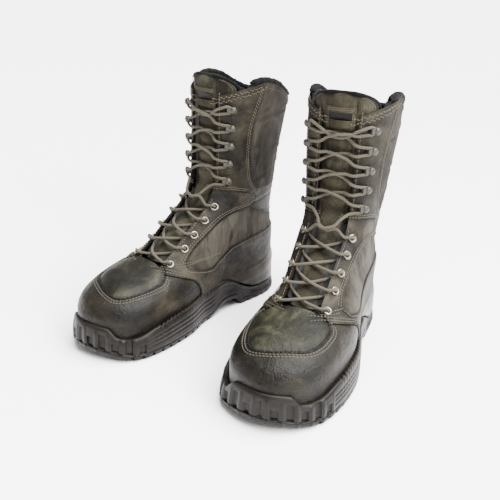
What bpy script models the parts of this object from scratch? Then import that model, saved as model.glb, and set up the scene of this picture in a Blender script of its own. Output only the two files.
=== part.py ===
"""A pair of insulated lace-up hunting boots, modelled as separate pieces.

One boot is worked out in its own frame: the toe points along -Y, the outer side of
the foot is +X and the ground is z = 0. The left boot uses that frame as it is, the
right boot is its mirror image. Every piece is then set in its boot's place.
"""
import math

import bmesh
import bpy
import numpy as np
from mathutils import Matrix, Vector

MM = 0.001

# Where each boot stands: centre of its frame, how far it turns out, and its hand.
BOOTS = {
    "right": {"x": -0.0895, "y": 0.0046, "turn": math.radians(-12.0), "mirror": -1.0},
    "left": {"x": 0.0973, "y": -0.0054, "turn": math.radians(6.0), "mirror": 1.0},
}

# Sole unit.
SOLE_TOE = -0.1604
SOLE_HEEL = 0.1526
SOLE_WALL = 4.3 * MM
TREAD_BEVEL = 2.0 * MM
FLOOR_AT_TOE = 0.0272
FLOOR_SLOPE = 0.047
FLOOR_PITCH = math.atan(FLOOR_SLOPE)
FEATHER_INSET = 0.89
HEEL_WAIST = 3.2 * MM

# Layers of the upper, as depths below its outer face, and how far they start above the seat.
LEATHER = 1.8 * MM
STIFFENER = (2.1 * MM, 3.1 * MM)
BOOTIE = (3.4 * MM, 7.6 * MM)
TONGUE = (7.9 * MM, 13.4 * MM)
STRIP = (2.4 * MM, 3.2 * MM)
SEAM_GAP = 0.18 * MM
CLEARANCE = 0.3 * MM
LEATHER_ABOVE = 0.6 * MM
SOCK_ABOVE = (3.0 * MM, 6.6 * MM)
BOARD = {"depth": 2.2 * MM, "low": 0.3 * MM, "high": 2.6 * MM}
FOOTBED = {"depth": BOOTIE[1] + 1.4 * MM, "low": 7.0 * MM, "high": 12.2 * MM}
HEEL_CLIP = (-3.6 * MM, -1.0 * MM)
COLLAR = {"inset": 3.8 * MM, "lift": 3.9 * MM, "half_width": 4.6 * MM, "half_height": 2.8 * MM}

# Throat, eyelets and hooks.
THROAT = 20.5 * MM
BOOTIE_THROAT = 33.5 * MM
TONGUE_HALF = 31.0 * MM
VAMP_EDGE = (-0.0560, 0.0780)
BOOTIE_EDGE = (-0.0680, 0.0660)
EYELET_X = 27.6 * MM
EYELET_LEVELS = (0.0860, 0.0995, 0.1132, 0.1270, 0.1410)
HOOK_LEVELS = (0.1720, 0.1935, 0.2150, 0.2365, 0.2580)
HOOK_X = (30.2 * MM, 33.4 * MM)
EYELET_BORE = 2.5 * MM
EYELET_BARREL = 3.1 * MM
EYELET_FLANGE = 5.0 * MM
PUNCHED_HOLE = 3.9 * MM
STRIP_HOLE = 2.8 * MM
RIVET_HOLE = 3.0 * MM
HOLE_REACH = 10 * MM
LACE_RADIUS = 1.6 * MM

# Resolution of the upper.
ROW_HEIGHTS = (0.044, 0.059, 0.072, 0.084, 0.0905, 0.103, 0.116, 0.131, 0.141, 0.150, 0.165, 0.203, 0.240)


class Curve:
    """A smooth curve through a few points that never overshoots between them."""

    def __init__(self, *points):
        self.x = np.array([p[0] for p in points], float)
        self.y = np.array([p[1] for p in points], float)
        step = np.diff(self.x)
        slope = np.diff(self.y) / step
        tangent = np.zeros(len(self.x))
        tangent[0], tangent[-1] = slope[0], slope[-1]
        for i in range(1, len(slope)):
            if slope[i - 1] * slope[i] > 0:
                near, far = 2 * step[i] + step[i - 1], step[i] + 2 * step[i - 1]
                tangent[i] = (near + far) / (near / slope[i - 1] + far / slope[i])
        self.tangent = tangent

    def __call__(self, value):
        value = min(max(value, self.x[0]), self.x[-1])
        i = min(int(np.searchsorted(self.x, value, side="right")) - 1, len(self.x) - 2)
        i = max(i, 0)
        step = self.x[i + 1] - self.x[i]
        t = (value - self.x[i]) / step
        a, b = self.y[i], self.y[i + 1]
        da, db = self.tangent[i] * step, self.tangent[i + 1] * step
        return a + t * (da + t * (3 * (b - a) - 2 * da - db + t * (2 * (a - b) + da + db)))


# Breadth of the sole about its centre line, by share of its length, before rounding.
SOLE_OUTER = Curve((0, .080), (.06, .0825), (.12, .081), (.2, .0768), (.3, .0718), (.38, .0678), (.5, .0589),
                   (.62, .0522), (.72, .0532), (.82, .0600), (.9, .0700), (.96, .0760), (1, .0780))
SOLE_INNER = Curve((0, .095), (.06, .0985), (.12, .0906), (.2, .0790), (.3, .0676), (.38, .0600), (.5, .0468),
                   (.62, .0438), (.72, .0495), (.82, .0595), (.9, .0710), (.96, .0780), (1, .0800))

# Front and back of the upper by height, and half its breadth at the shaft.
FRONT = Curve((.015, -.1530), (.045, -.1540), (.058, -.1480), (.066, -.1360), (.074, -.1120), (.080, -.0880),
              (.086, -.0660), (.091, -.0570), (.1155, -.0260), (.1425, .0110), (.155, .0200), (.172, .0265),
              (.200, .0285), (.230, .0300), (.260, .0300), (.300, .0270))
BACK = Curve((.015, .1470), (.060, .1482), (.120, .1462), (.176, .1460), (.229, .1540), (.262, .1620),
             (.300, .1680))
SHAFT_HALF = Curve((.060, .0420), (.120, .0400), (.150, .0405), (.172, .0425), (.200, .0450), (.230, .0475),
                   (.260, .0495), (.300, .0510))
SHAFT_SQUARE = 0.20
BLEND_FROM, BLEND_TO = 0.050, 0.125

# Side view heights of the topline, the sole's rim, its underside and its inner floor.
TOPLINE = Curve((.030, .2845), (.045, .2830), (.065, .2855), (.083, .2880), (.105, .2840), (.130, .2720),
                (.150, .2640), (.170, .2620))
RIM = Curve((-.1604, .0420), (-.150, .0400), (-.142, .0290), (-.132, .0270), (-.100, .0340), (-.070, .0380),
            (-.030, .0400), (.010, .0412), (.032, .0425), (.045, .0390), (.062, .0290), (.080, .0205),
            (.095, .0180), (.1526, .0190))
UNDERSIDE = Curve((-.1604, .0090), (-.140, .0030), (-.120, 0), (0, 0), (.012, .0030), (.030, .0105), (.052, .0110),
                  (.058, .0060), (.064, 0), (.140, 0), (.1526, .0030))
WELL = Curve((-.1604, .0160), (-.140, .0110), (-.120, .0085), (-.010, .0085), (.030, .0165), (.1526, .0170))


def smooth_step(value):
    """Ease a value from 0 to 1."""
    value = min(max(value, 0.0), 1.0)
    return value * value * (3 - 2 * value)


def sole_breadth(y, side):
    """Breadth of the sole unit at y on one side, before its ends are rounded."""
    share = (y - SOLE_TOE) / (SOLE_HEEL - SOLE_TOE)
    return (SOLE_OUTER if side > 0 else SOLE_INNER)(share)


def sole_point(angle, inset, height):
    """A point on the sole's outline, moved in by inset. Angle 0 is the toe."""
    centre, reach = (SOLE_TOE + SOLE_HEEL) / 2, (SOLE_HEEL - SOLE_TOE) / 2
    y = centre - reach * math.cos(angle)
    side = 1.0 if math.sin(angle) >= 0 else -1.0
    x = sole_breadth(y, side) * math.sin(angle)
    shrink = 1 - inset / reach
    out = max(abs(x), 1e-9)
    return Vector((x * max(out - inset, 0) / out, centre + (y - centre) * shrink, height))


def floor_height(y):
    """Height of the flat, tilted seat that the foot stands over."""
    return FLOOR_AT_TOE + FLOOR_SLOPE * y


def face_point(angle, z):
    """A point on the outer face of the upper. Angle 0 is the front, pi the heel."""
    front, back = FRONT(z), BACK(z)
    y = (front + back) / 2 - (back - front) / 2 * math.cos(angle)
    side = 1.0 if math.sin(angle) >= 0 else -1.0
    low = FEATHER_INSET * sole_breadth(y, side)
    high = SHAFT_HALF(z) * (1 + SHAFT_SQUARE * math.cos(angle) ** 2)
    mix = smooth_step((z - BLEND_FROM) / (BLEND_TO - BLEND_FROM))
    return Vector(((low + (high - low) * mix) * math.sin(angle), y, z))


def face_normal(angle, z):
    """The outward direction of the upper's face."""
    step, rise = 0.02, 0.0015
    along = face_point(angle + step, z) - face_point(angle - step, z)
    up = face_point(angle, z + rise) - face_point(angle, z - rise)
    return along.cross(up).normalized()


def skin(angle, z, depth):
    """A point below the upper's outer face by depth, or above it where depth is negative."""
    return face_point(angle, z) - face_normal(angle, z) * depth


def angle_at(x, z):
    """The angle on the front half at which the upper's face reaches x."""
    low, high = 0.0, math.pi / 2
    for _ in range(40):
        middle = (low + high) / 2
        if face_point(middle if x >= 0 else -middle, z).x * (1 if x >= 0 else -1) < abs(x):
            low = middle
        else:
            high = middle
    return low if x >= 0 else -low


def stay_point(x, z, depth):
    """A point under the upper's face, given across and by height."""
    return skin(angle_at(x, z), z, depth)


def top_height(angle):
    """Height of the topline at an angle around the shaft."""
    return TOPLINE(face_point(angle, 0.28).y)


def seat_height(angle, above):
    """Height of the seat under the upper's edge at an angle, plus a distance."""
    z = 0.03
    for _ in range(3):
        z = floor_height(face_point(angle, z).y) + above
    return z


# ---------------------------------------------------------------- mesh helpers

def mesh_of(points, faces):
    """A mesh of computed points, its faces turned outwards."""
    mesh = bpy.data.meshes.new("piece")
    mesh.from_pydata([tuple(p) for p in points], [], faces)
    work = bmesh.new()
    work.from_mesh(mesh)
    bmesh.ops.remove_doubles(work, verts=work.verts, dist=0.00001)
    bmesh.ops.recalc_face_normals(work, faces=work.faces)
    work.to_mesh(mesh)
    work.free()
    return mesh


def split(a, b, c, d, other=False):
    """The two triangles of a four-sided face, cut corner to corner one way or the other."""
    return [(b, c, d), (b, d, a)] if other else [(a, b, c), (a, c, d)]


def rings(loops, joined=False, caps=("flat", "flat"), back_from=None):
    """Bridge closed loops of equal length; the ends are capped, or joined to each other.

    From loop back_from on the wall runs back down inside itself, and its faces are cut
    the other way, so that walls one inside another keep the same creases.
    """
    count = len(loops[0])
    points = [p for loop in loops for p in loop]
    faces = []
    for k in range(len(loops) if joined else len(loops) - 1):
        a, b = k * count, ((k + 1) % len(loops)) * count
        for i in range(count):
            j = (i + 1) % count
            faces += split(a + i, a + j, b + j, b + i, back_from is not None and k >= back_from)
    if not joined:
        for kind, start in zip(caps, (0, (len(loops) - 1) * count)):
            if kind == "flat":
                faces.append(tuple(range(start, start + count)))
                continue
            for i in range(count // 2):
                quad = (start + i, start + i + 1, start + (count - i - 1) % count, start + (count - i) % count)
                faces.append(tuple(dict.fromkeys(quad)))
    return mesh_of(points, faces)


def slab(outer, inner):
    """A closed sheet between two equal grids of points."""
    rows, cols = len(outer), len(outer[0])
    points = [p for row in outer for p in row] + [p for row in inner for p in row]
    shift = rows * cols
    faces = []
    for r in range(rows - 1):
        for c in range(cols - 1):
            a, b, d, e = r * cols + c, r * cols + c + 1, (r + 1) * cols + c + 1, (r + 1) * cols + c
            faces += split(a, b, d, e)
            faces += split(shift + a, shift + b, shift + d, shift + e)
    rim = [c for c in range(cols)] + [r * cols + cols - 1 for r in range(1, rows)]
    rim += [(rows - 1) * cols + c for c in range(cols - 2, -1, -1)] + [r * cols for r in range(rows - 2, 0, -1)]
    for i, a in enumerate(rim):
        b = rim[(i + 1) % len(rim)]
        faces += split(a, b, shift + b, shift + a)
    return mesh_of(points, faces)


def offset_outline(outline, distance):
    """Move a closed outline inwards by a distance, or outwards where it is negative."""
    pts = [np.array(p, float) for p in outline]
    area = sum(a[0] * b[1] - a[1] * b[0] for a, b in zip(pts, pts[1:] + pts[:1]))
    turn = 1 if area > 0 else -1
    moved = []
    for i, point in enumerate(pts):
        before, after = point - pts[i - 1], pts[(i + 1) % len(pts)] - point
        normals = []
        for edge in (before, after):
            edge = edge / np.linalg.norm(edge)
            normals.append(np.array((-edge[1], edge[0])) * turn)
        bisector = normals[0] + normals[1]
        bisector /= max(np.linalg.norm(bisector), 1e-9)
        moved.append(point + bisector * distance / max(bisector @ normals[0], 0.4))
    return moved


def side_prism(outline, x_from, x_to):
    """A prism with its outline in the side view, reaching across from x_from to x_to."""
    return rings([[Vector((x, p[0], p[1])) for p in outline] for x in (x_from, x_to)])


def plan_prism(outline, z_from, z_to):
    """A prism with its outline in the plan view, reaching up from z_from to z_to."""
    return rings([[Vector((p[0], p[1], z)) for p in outline] for z in (z_from, z_to)])


def boolean(mesh, other, operation):
    """Combine two closed meshes and return the result."""
    scene = bpy.context.scene.collection
    base = bpy.data.objects.new("base", mesh)
    tool = bpy.data.objects.new("tool", other)
    scene.objects.link(base)
    scene.objects.link(tool)
    cut = base.modifiers.new("cut", "BOOLEAN")
    cut.operation = operation
    cut.solver = "MANIFOLD"
    cut.object = tool
    graph = bpy.context.evaluated_depsgraph_get()
    result = bpy.data.meshes.new_from_object(base.evaluated_get(graph))
    for item in (base, tool):
        bpy.data.objects.remove(item)
    return result


def together(meshes):
    """Several separate meshes as one."""
    work = bmesh.new()
    for mesh in meshes:
        work.from_mesh(mesh)
    joined = bpy.data.meshes.new("together")
    work.to_mesh(joined)
    work.free()
    return joined


def moved(mesh, matrix):
    """A copy of a mesh moved by a matrix, its faces kept outwards."""
    copy = mesh.copy()
    copy.transform(matrix)
    if matrix.determinant() < 0:
        copy.flip_normals()
    return copy


def local_axes(x, z):
    """A matrix set on the upper's face: +Z out of it, +X away from the throat, +Y up the boot."""
    angle = angle_at(x, z)
    origin, out = face_point(angle, z), face_normal(angle, z)
    side = math.copysign(1.0, x)
    up = (Vector((0, 0, 1)) - out * out.z).normalized()
    away = up.cross(out).normalized()
    away = away if away.x * side > 0 else -away
    return Matrix((
        (away.x, up.x, out.x, origin.x), (away.y, up.y, out.y, origin.y),
        (away.z, up.z, out.z, origin.z), (0, 0, 0, 1)))


def hole(radius):
    """A six-sided plug along Z to punch a hole with."""
    turns = [math.pi * i / 3 for i in range(6)]
    return rings([[Vector((radius * math.cos(t), radius * math.sin(t), height)) for t in turns]
                  for height in (-HOLE_REACH, HOLE_REACH)])


# ---------------------------------------------------------------- sole unit

HALF_TURN = (0, 10, 20, 31, 45, 60, 75, 90, 105, 120, 140, 160, 180)
ANGLES = [math.radians(a) for a in HALF_TURN] + [math.radians(360 - a) for a in HALF_TURN[-2:0:-1]]
COLUMNS = len(ANGLES)
SOLE_ANGLES = [2 * math.pi * i / 40 for i in range(40)]


def sole_loop(inset, height, waist=0.0):
    """One loop of the sole at an inset, drawn in by waist under the heel; height is a curve along it."""
    loop = []
    for angle in SOLE_ANGLES:
        share = smooth_step((sole_point(angle, 0, 0).y - 0.015) / 0.03)
        point = sole_point(angle, inset + waist * share, 0)
        point.z = height(point.y)
        loop.append(point)
    return loop


def outsole():
    """Rubber tread, toe bumper and side wall in one cup."""
    wall_foot = sole_loop(0, lambda y: UNDERSIDE(y) + 4 * MM)
    return rings([
        sole_loop(TREAD_BEVEL, UNDERSIDE), wall_foot, sole_loop(0, RIM),
        sole_loop(SOLE_WALL, lambda y: max(RIM(y), WELL(y) + MM)), sole_loop(SOLE_WALL, WELL),
    ], caps=("ladder", "ladder"))


SHANK = {"y": 0.035, "length": 0.105, "width": 12 * MM, "thick": 1.2 * MM}


def shank_block(extra, lift):
    """The shank's shape on the tilted seat, grown by extra, its top at lift below the seat."""
    work = bmesh.new()
    bmesh.ops.create_cube(work, size=1)
    size = (SHANK["width"] + 2 * extra, SHANK["length"] + 2 * extra, SHANK["thick"] + 2 * extra)
    bmesh.ops.scale(work, verts=work.verts, vec=size)
    corners = [e for e in work.edges if abs(e.verts[0].co.z - e.verts[1].co.z) > SHANK["thick"] / 2]
    bmesh.ops.bevel(work, geom=corners, offset=5 * MM, segments=2, affect="EDGES", profile=0.5)
    centre = Vector((0, SHANK["y"], floor_height(SHANK["y"]) + lift))
    work.transform(Matrix.Translation(centre) @ Matrix.Rotation(FLOOR_PITCH, 4, "X"))
    mesh = bpy.data.meshes.new("shank")
    work.to_mesh(mesh)
    work.free()
    return mesh


SHANK_LIFT = -1.0 * MM


def midsole():
    """Foam slab in the outsole's cup, with a pocket for the shank."""
    inset = SOLE_WALL + 2 * CLEARANCE
    slab_mesh = rings([
        sole_loop(inset, lambda y: WELL(y) + CLEARANCE, HEEL_WAIST),
        sole_loop(inset, floor_height, HEEL_WAIST)], caps=("ladder", "ladder"))
    for lift in (SHANK_LIFT, SHANK_LIFT + SHANK["thick"]):
        slab_mesh = boolean(slab_mesh, shank_block(CLEARANCE, lift), "DIFFERENCE")
    return slab_mesh


def inside_loop(depth, above):
    """The outline inside the upper at a depth, lying on the tilted seat plus a distance."""
    loop = []
    for angle in ANGLES:
        point = skin(angle, seat_height(angle, above), depth)
        point.z = floor_height(point.y) + above
        loop.append(point)
    return loop


def insole(depth, low, high):
    """A flat layer inside the upper between two distances above the seat."""
    return rings([inside_loop(depth, low), inside_loop(depth, high)])


# ---------------------------------------------------------------- upper

def shell_loops(depth, above):
    """Loops of the upper at a depth, from the seat to the topline."""
    columns = []
    for angle in ANGLES:
        heights = [seat_height(angle, above), *ROW_HEIGHTS, top_height(angle)]
        column = [skin(angle, z, depth) for z in heights]
        column[0].z = floor_height(column[0].y) + above
        columns.append(column)
    return [list(row) for row in zip(*columns)]


def leather_blank():
    """The whole outer wall of the upper before it is cut into its panels."""
    outer, inner = shell_loops(0, LEATHER_ABOVE), shell_loops(LEATHER, LEATHER_ABOVE)
    wall = rings(outer + inner[::-1], joined=True, back_from=len(outer))
    return boolean(wall, throat_cutter(THROAT, VAMP_EDGE), "DIFFERENCE")


def throat_cutter(half, lower):
    """A block that opens the upper's front from the vamp edge upwards."""
    start_y, start_z = lower
    front = [(start_y, start_z), (start_y - 0.03, start_z + 0.05), (-0.02, 0.33), (0.075, 0.33)]
    behind = [(0.075, 0.17), (0.055, 0.145), (start_y + 0.045, start_z + 0.01)]
    return side_prism(front + behind, -half, half)


def bootie():
    """Insulated waterproof inner sock, closed under the foot and open at the throat."""
    outer, inner = (shell_loops(depth, above) for depth, above in zip(BOOTIE, SOCK_ABOVE))
    sock = rings(outer + inner[::-1], back_from=len(outer))
    return boolean(sock, throat_cutter(BOOTIE_THROAT, BOOTIE_EDGE), "DIFFERENCE")


def stiffener(columns, rows):
    """A curved stiffener between the leather and the inner sock."""
    grids = []
    for depth in STIFFENER:
        loops = shell_loops(depth, SOCK_ABOVE[0])
        grids.append([[loops[r][c % COLUMNS] for c in columns] for r in range(rows)])
    return slab(grids[0], grids[1])


# Seams in the side view, as (y, z), shared by the panels on both sides of each.
MUDGUARD_SEAM = [(-.085, .0785), (-.067, .0800), (-.047, .0740), (-.030, .0660), (-.017, .0520), (-.012, .0350)]
EYESTAY_SEAM = [(-.034, .0835), (-.017, .0975), (-.002, .1075), (.023, .1235), (.044, .1312), (.060, .1328),
                (.072, .1335)]
TAB_END = [(.0805, .1375), (.0835, .1440), (.0780, .1500), (.0665, .1530)]
HOOK_PANEL_FOOT = [(.0665, .1530), (.0490, .1575), (.0240, .1605), (0, .1620)]
SIDE_PANEL_FOOT = [(-.034, .0800), (-.025, .0765), (-.010, .0710), (.008, .0680), (.018, .0730), (.029, .0790),
                   (.045, .0870), (.067, .0905), (.100, .0930), (.200, .0970)]
ANKLE_SEAM = [(.072, .1335), (.101, .1215), (.117, .1145), (.200, .1085)]
HOOK_PANEL_BACK = [(.0855, .1540), (.0740, .1690), (.0690, .1890), (.0670, .2080), (.0680, .2330), (.0740, .2560),
                   (.0820, .2790), (.0840, .3200)]

# Outline of the raised plug on the toe, in plan.
PLUG = [(.0205, -.0550), (.0375, -.0690), (.0385, -.0850), (.0340, -.1020), (.0260, -.1130), (.0120, -.1205),
        (-.0050, -.1265), (-.0220, -.1270), (-.0310, -.1190), (-.0370, -.1040), (-.0405, -.0850),
        (-.0390, -.0690), (-.0205, -.0550)]


def panel(blank, outline, x_from, x_to):
    """Cut one panel of the upper out of its blank."""
    return boolean(blank.copy(), side_prism(offset_outline(outline, SEAM_GAP), x_from, x_to), "INTERSECT")


def plug_prism(grow):
    """The column over the toe plug, grown by a distance."""
    return plan_prism(offset_outline(PLUG, -grow), 0.045, 0.11)


def mudguard(blank):
    """Toe and ball guard below the plug."""
    outline = [(-.20, 0), (-.20, .0785), *MUDGUARD_SEAM, (-.012, 0)]
    return boolean(panel(blank, outline, -.1, .1), plug_prism(SEAM_GAP), "DIFFERENCE")


def vamp_plug(blank):
    """The raised plug on top of the toe."""
    return boolean(blank.copy(), plug_prism(-SEAM_GAP), "INTERSECT")


def half(side):
    """The reach across of a panel that stops at the heel seam."""
    return (SEAM_GAP, 0.1) if side > 0 else (-0.1, -SEAM_GAP)


def quarter(blank, side):
    """Eyestay with its ankle tab, and the low panel back to the heel."""
    outline = [(-.012, 0), *MUDGUARD_SEAM[::-1], (-.085, .12), (0, .1620)]
    outline += [*HOOK_PANEL_FOOT[-2::-1], *TAB_END[-2::-1], *EYESTAY_SEAM[::-1], *SIDE_PANEL_FOOT, (.2, 0)]
    piece = boolean(panel(blank, outline, *half(side)), plug_prism(SEAM_GAP), "DIFFERENCE")
    holes = [moved(hole(PUNCHED_HOLE), local_axes(side * EYELET_X, z)) for z in EYELET_LEVELS]
    return boolean(piece, together(holes), "DIFFERENCE")


def side_panel(blank, side):
    """Textile panel below the ankle."""
    outline = [*EYESTAY_SEAM, *ANKLE_SEAM[1:], *SIDE_PANEL_FOOT[::-1]]
    return panel(blank, outline, *half(side))


def ankle_band(blank):
    """Band round the back of the ankle, from tab to tab."""
    outline = [*ANKLE_SEAM, (.2, .1540), (.0855, .1540), *TAB_END[::-1]]
    return panel(blank, outline, -.1, .1)


def hook_places():
    """Where the speed hooks sit, as distance from the middle and height."""
    share = [i / (len(HOOK_LEVELS) - 1) for i in range(len(HOOK_LEVELS))]
    return [(HOOK_X[0] + (HOOK_X[1] - HOOK_X[0]) * s, z) for s, z in zip(share, HOOK_LEVELS)]


def hook_panel(blank, side):
    """Upper stay that carries the speed hooks."""
    outline = [*HOOK_PANEL_FOOT[::-1], *HOOK_PANEL_BACK, (0, .32)]
    piece = panel(blank, outline, *half(side))
    holes = [moved(hole(RIVET_HOLE), local_axes(side * x, z)) for x, z in hook_places()]
    return boolean(piece, together(holes), "DIFFERENCE")


def rear_shaft(blank):
    """Textile panel round the back of the shaft."""
    outline = [*HOOK_PANEL_BACK, (.2, .32), (.2, .1540)]
    return panel(blank, outline, -.1, .1)


CLIP_ROWS = (0.0190, 0.0300, 0.0410, 0.0500, 0.0620)
CLIP_OUTLINE = [(.036, .0440), (.045, .0405), (.062, .0306), (.080, .0220), (.095, .0196), (.2, .0196), (.2, .0580),
                (.140, .0570), (.118, .0510), (.095, .0460), (.060, .0450)]


def heel_clip():
    """Moulded stabiliser that wraps the heel above the outsole."""
    grids = [[[skin(a, z, depth) for a in ANGLES[7:18]] for z in CLIP_ROWS] for depth in HEEL_CLIP]
    return boolean(slab(*grids), side_prism(CLIP_OUTLINE, -.1, .1), "INTERSECT")


def collar():
    """Padded binding rolled over the topline."""
    start = angle_at(BOOTIE_THROAT + MM, 0.283)
    loops = []
    for i in range(21):
        angle = start + (2 * math.pi - 2 * start) * i / 20
        z = top_height(angle)
        out = face_normal(angle, z)
        out.z = 0
        out.normalize()
        centre = face_point(angle, z) - out * COLLAR["inset"] + Vector((0, 0, COLLAR["lift"]))
        loops.append([centre + out * COLLAR["half_width"] * math.cos(math.pi * k / 3)
                      + Vector((0, 0, COLLAR["half_height"] * math.sin(math.pi * k / 3))) for k in range(6)])
    return rings(loops)


# ---------------------------------------------------------------- tongue

TONGUE_ROWS = (.0905, .1030, .1160, .1310, .1410, .1500, .1650, .2030, .2400, .2600, .2750, .2870, .2960)
TONGUE_RISE = Curve((.0900, 0), (.2450, 0), (.2750, 4.0 * MM), (.2960, 3.0 * MM))
TONGUE_SPAN = Curve((.0900, 22 * MM), (.1120, 28 * MM), (.1540, TONGUE_HALF), (.2750, TONGUE_HALF), (.2870, 28 * MM),
                    (.2960, 19 * MM))


def tongue():
    """Padded tongue behind the throat, from the vamp edge to above the collar."""
    grids = []
    for depth in TONGUE:
        rows = []
        for z in TONGUE_ROWS:
            spread = [TONGUE_SPAN(z) * (k / 3) for k in range(-3, 4)]
            swell = TONGUE_RISE(z)
            rows.append([stay_point(x, z, depth - swell) for x in spread])
        grids.append(rows)
    return slab(*grids)


def tongue_hinge():
    """The line along which the tongue's foot is stitched to the vamp."""
    return (stay_point(0, TONGUE_ROWS[0], TONGUE[0]) + stay_point(0, TONGUE_ROWS[0], TONGUE[1])) / 2


KEEPER = {"half": 15 * MM, "low": 0.2590, "high": 0.2670}


def lace_keeper():
    """Webbing loop across the tongue, standing off it in the middle."""
    stand_off = Curve((0, 3.6 * MM), (9 * MM, 3.0 * MM), (15 * MM, 0.8 * MM))
    grids = []
    for thick in (1.1 * MM, 0):
        rows = []
        for z in (KEEPER["low"], KEEPER["high"]):
            base = TONGUE[0] - TONGUE_RISE(z)
            spread = [KEEPER["half"] * k / 3 for k in range(-3, 4)]
            rows.append([stay_point(x, z, base - stand_off(abs(x)) - thick) for x in spread])
        grids.append(rows)
    return slab(*grids)


# ---------------------------------------------------------------- eyelets and hooks

def strip(side, inner, outer, heights):
    """A reinforcing strip under a stay; inner and outer are its edges at its foot and head."""
    grids = []
    for depth in STRIP:
        rows = []
        for z in heights:
            share = (z - heights[0]) / (heights[-1] - heights[0])
            a, b = (edge[0] + (edge[1] - edge[0]) * share for edge in (inner, outer))
            rows.append([stay_point(side * (a + (b - a) * m), z, depth) for m in range(2)])
        grids.append(rows)
    return slab(*grids)


EYELET_STRIP_ROWS = (0.084, 0.0905, 0.103, 0.116, 0.131, 0.141, 0.1470)
HOOK_STRIP_ROWS = (0.1655, 0.182, 0.200, 0.220, 0.240, 0.2640)


def eyelet_ring():
    """One eyelet, its barrel going down through the stay to the strip."""
    profile = ((EYELET_BORE, -3.5), (EYELET_BORE, 1.8), (EYELET_FLANGE, 1.8), (EYELET_FLANGE, 0.95),
               (EYELET_BARREL, 0.95), (EYELET_BARREL, -3.5))
    loops = [[Vector((r * math.cos(math.pi * i / 3), r * math.sin(math.pi * i / 3), h * MM)) for i in range(6)]
             for r, h in profile]
    return rings(loops, joined=True)


def eyelet_row(side):
    """Five eyelets on their reinforcing strip."""
    places = [local_axes(side * EYELET_X, z) for z in EYELET_LEVELS]
    inner, outer = EYELET_X - 5.1 * MM, EYELET_X + 4.9 * MM
    tape = strip(side, (inner, inner), (outer, outer), EYELET_STRIP_ROWS)
    tape = boolean(tape, together([moved(hole(STRIP_HOLE), m) for m in places]), "DIFFERENCE")
    return boolean(tape, together([moved(eyelet_ring(), m) for m in places]), "UNION")


HOOK_PROFILE = ((-1.5, -2.9), (1.5, -2.9), (1.5, .8), (4.2, .8), (4.2, 1.6), (-2.5, 1.6), (-2.5, 5.4), (4.2, 5.4),
                (4.2, 6.6), (-3.7, 6.6), (-3.7, .8), (-1.5, .8))
HOOK_WIDTH = 3.6 * MM


def speed_hook():
    """One open hook: rivet, base, neck on the throat side and a top over the slot."""
    return rings([[Vector((a * MM, y, h * MM)) for a, h in HOOK_PROFILE] for y in (-HOOK_WIDTH / 2, HOOK_WIDTH / 2)])


def hook_row(side):
    """Five speed hooks on their backing strip."""
    places = [local_axes(side * x, z) for x, z in hook_places()]
    tape = strip(side, (HOOK_X[0] - 5 * MM, HOOK_X[1] - 5 * MM), (HOOK_X[0] + 2.6 * MM, HOOK_X[1] - 0.6 * MM),
                 HOOK_STRIP_ROWS)
    hook = speed_hook()
    return boolean(tape, together([moved(hook, m) for m in places]), "UNION")


# ---------------------------------------------------------------- lace

LACE_UNDER = 5.6 * MM
LACE_EDGE = 19.2 * MM
LACE_NEAR, LACE_FAR = 4.8 * MM, 8.4 * MM
ANKLE_CROSSING = 0.1570
TOP_STRAND = {"height": 0.2450, "above": 4.0 * MM}


def lace_route():
    """The lace's whole route: in at one low eyelet, up, across the top, and down again."""

    def eyelet(side, i):
        """Up from under the stay, through the eyelet and over the stay's edge."""
        z = EYELET_LEVELS[i]
        frame = local_axes(side * EYELET_X, z)
        steps = ((-0.6, -0.3, -5.4), (0, 0, -3.9), (0, 0, 2.0), (-1.6, 0.5, 4.6), (-5.0, 1.3, 4.4))
        first = stay_point(side * (EYELET_X - 6.5 * MM), z - 1.2 * MM, LACE_UNDER)
        over = stay_point(side * LACE_EDGE, z + 1.6 * MM, -3.0 * MM)
        return [first, *[frame @ (Vector(s) * MM) for s in steps], over]

    def hook(side, i):
        """Round a speed hook's neck from below."""
        x, z = hook_places()[i]
        frame = local_axes(side * x, z)
        steps = ((-2.6, -4.3, 3.5), (0.4, -2.4, 3.5), (0.9, 0, 3.5), (0.4, 2.4, 3.5), (-2.6, 4.3, 3.5))
        ends = [stay_point(side * LACE_EDGE, z + rise, -2.6 * MM) for rise in (-5.4 * MM, 5.4 * MM)]
        return [ends[0], *[frame @ (Vector(s) * MM) for s in steps], ends[1]]

    def middle(z, above):
        """A point over the middle of the tongue."""
        return [stay_point(0, z, TONGUE[0] - TONGUE_RISE(z) - above)]

    def climb(side):
        """One half of the lace, from its low eyelet to its top hook."""
        height = LACE_NEAR if side > 0 else LACE_FAR
        path = []
        hand = side
        for i, level in enumerate(EYELET_LEVELS):
            path += eyelet(hand, i)
            if i < len(EYELET_LEVELS) - 1:
                path += middle((level + EYELET_LEVELS[i + 1]) / 2 + 1.5 * MM, height)
                hand = -hand
        hand = -hand
        path += middle(ANKLE_CROSSING, height)
        for i, level in enumerate(HOOK_LEVELS):
            path += hook(hand, i)
            if i < len(HOOK_LEVELS) - 1:
                path += middle((level + HOOK_LEVELS[i + 1]) / 2, height)
                hand = -hand
        return path

    right, left = climb(1), climb(-1)
    for path in (right, left):
        path[-1] = stay_point(math.copysign(LACE_EDGE, path[-2].x), HOOK_LEVELS[-1] - 1.0 * MM, -2.6 * MM)
    top = [stay_point(0, TOP_STRAND["height"], TONGUE[0] - TOP_STRAND["above"])]
    return [*right, *top, *left[::-1]]


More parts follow.
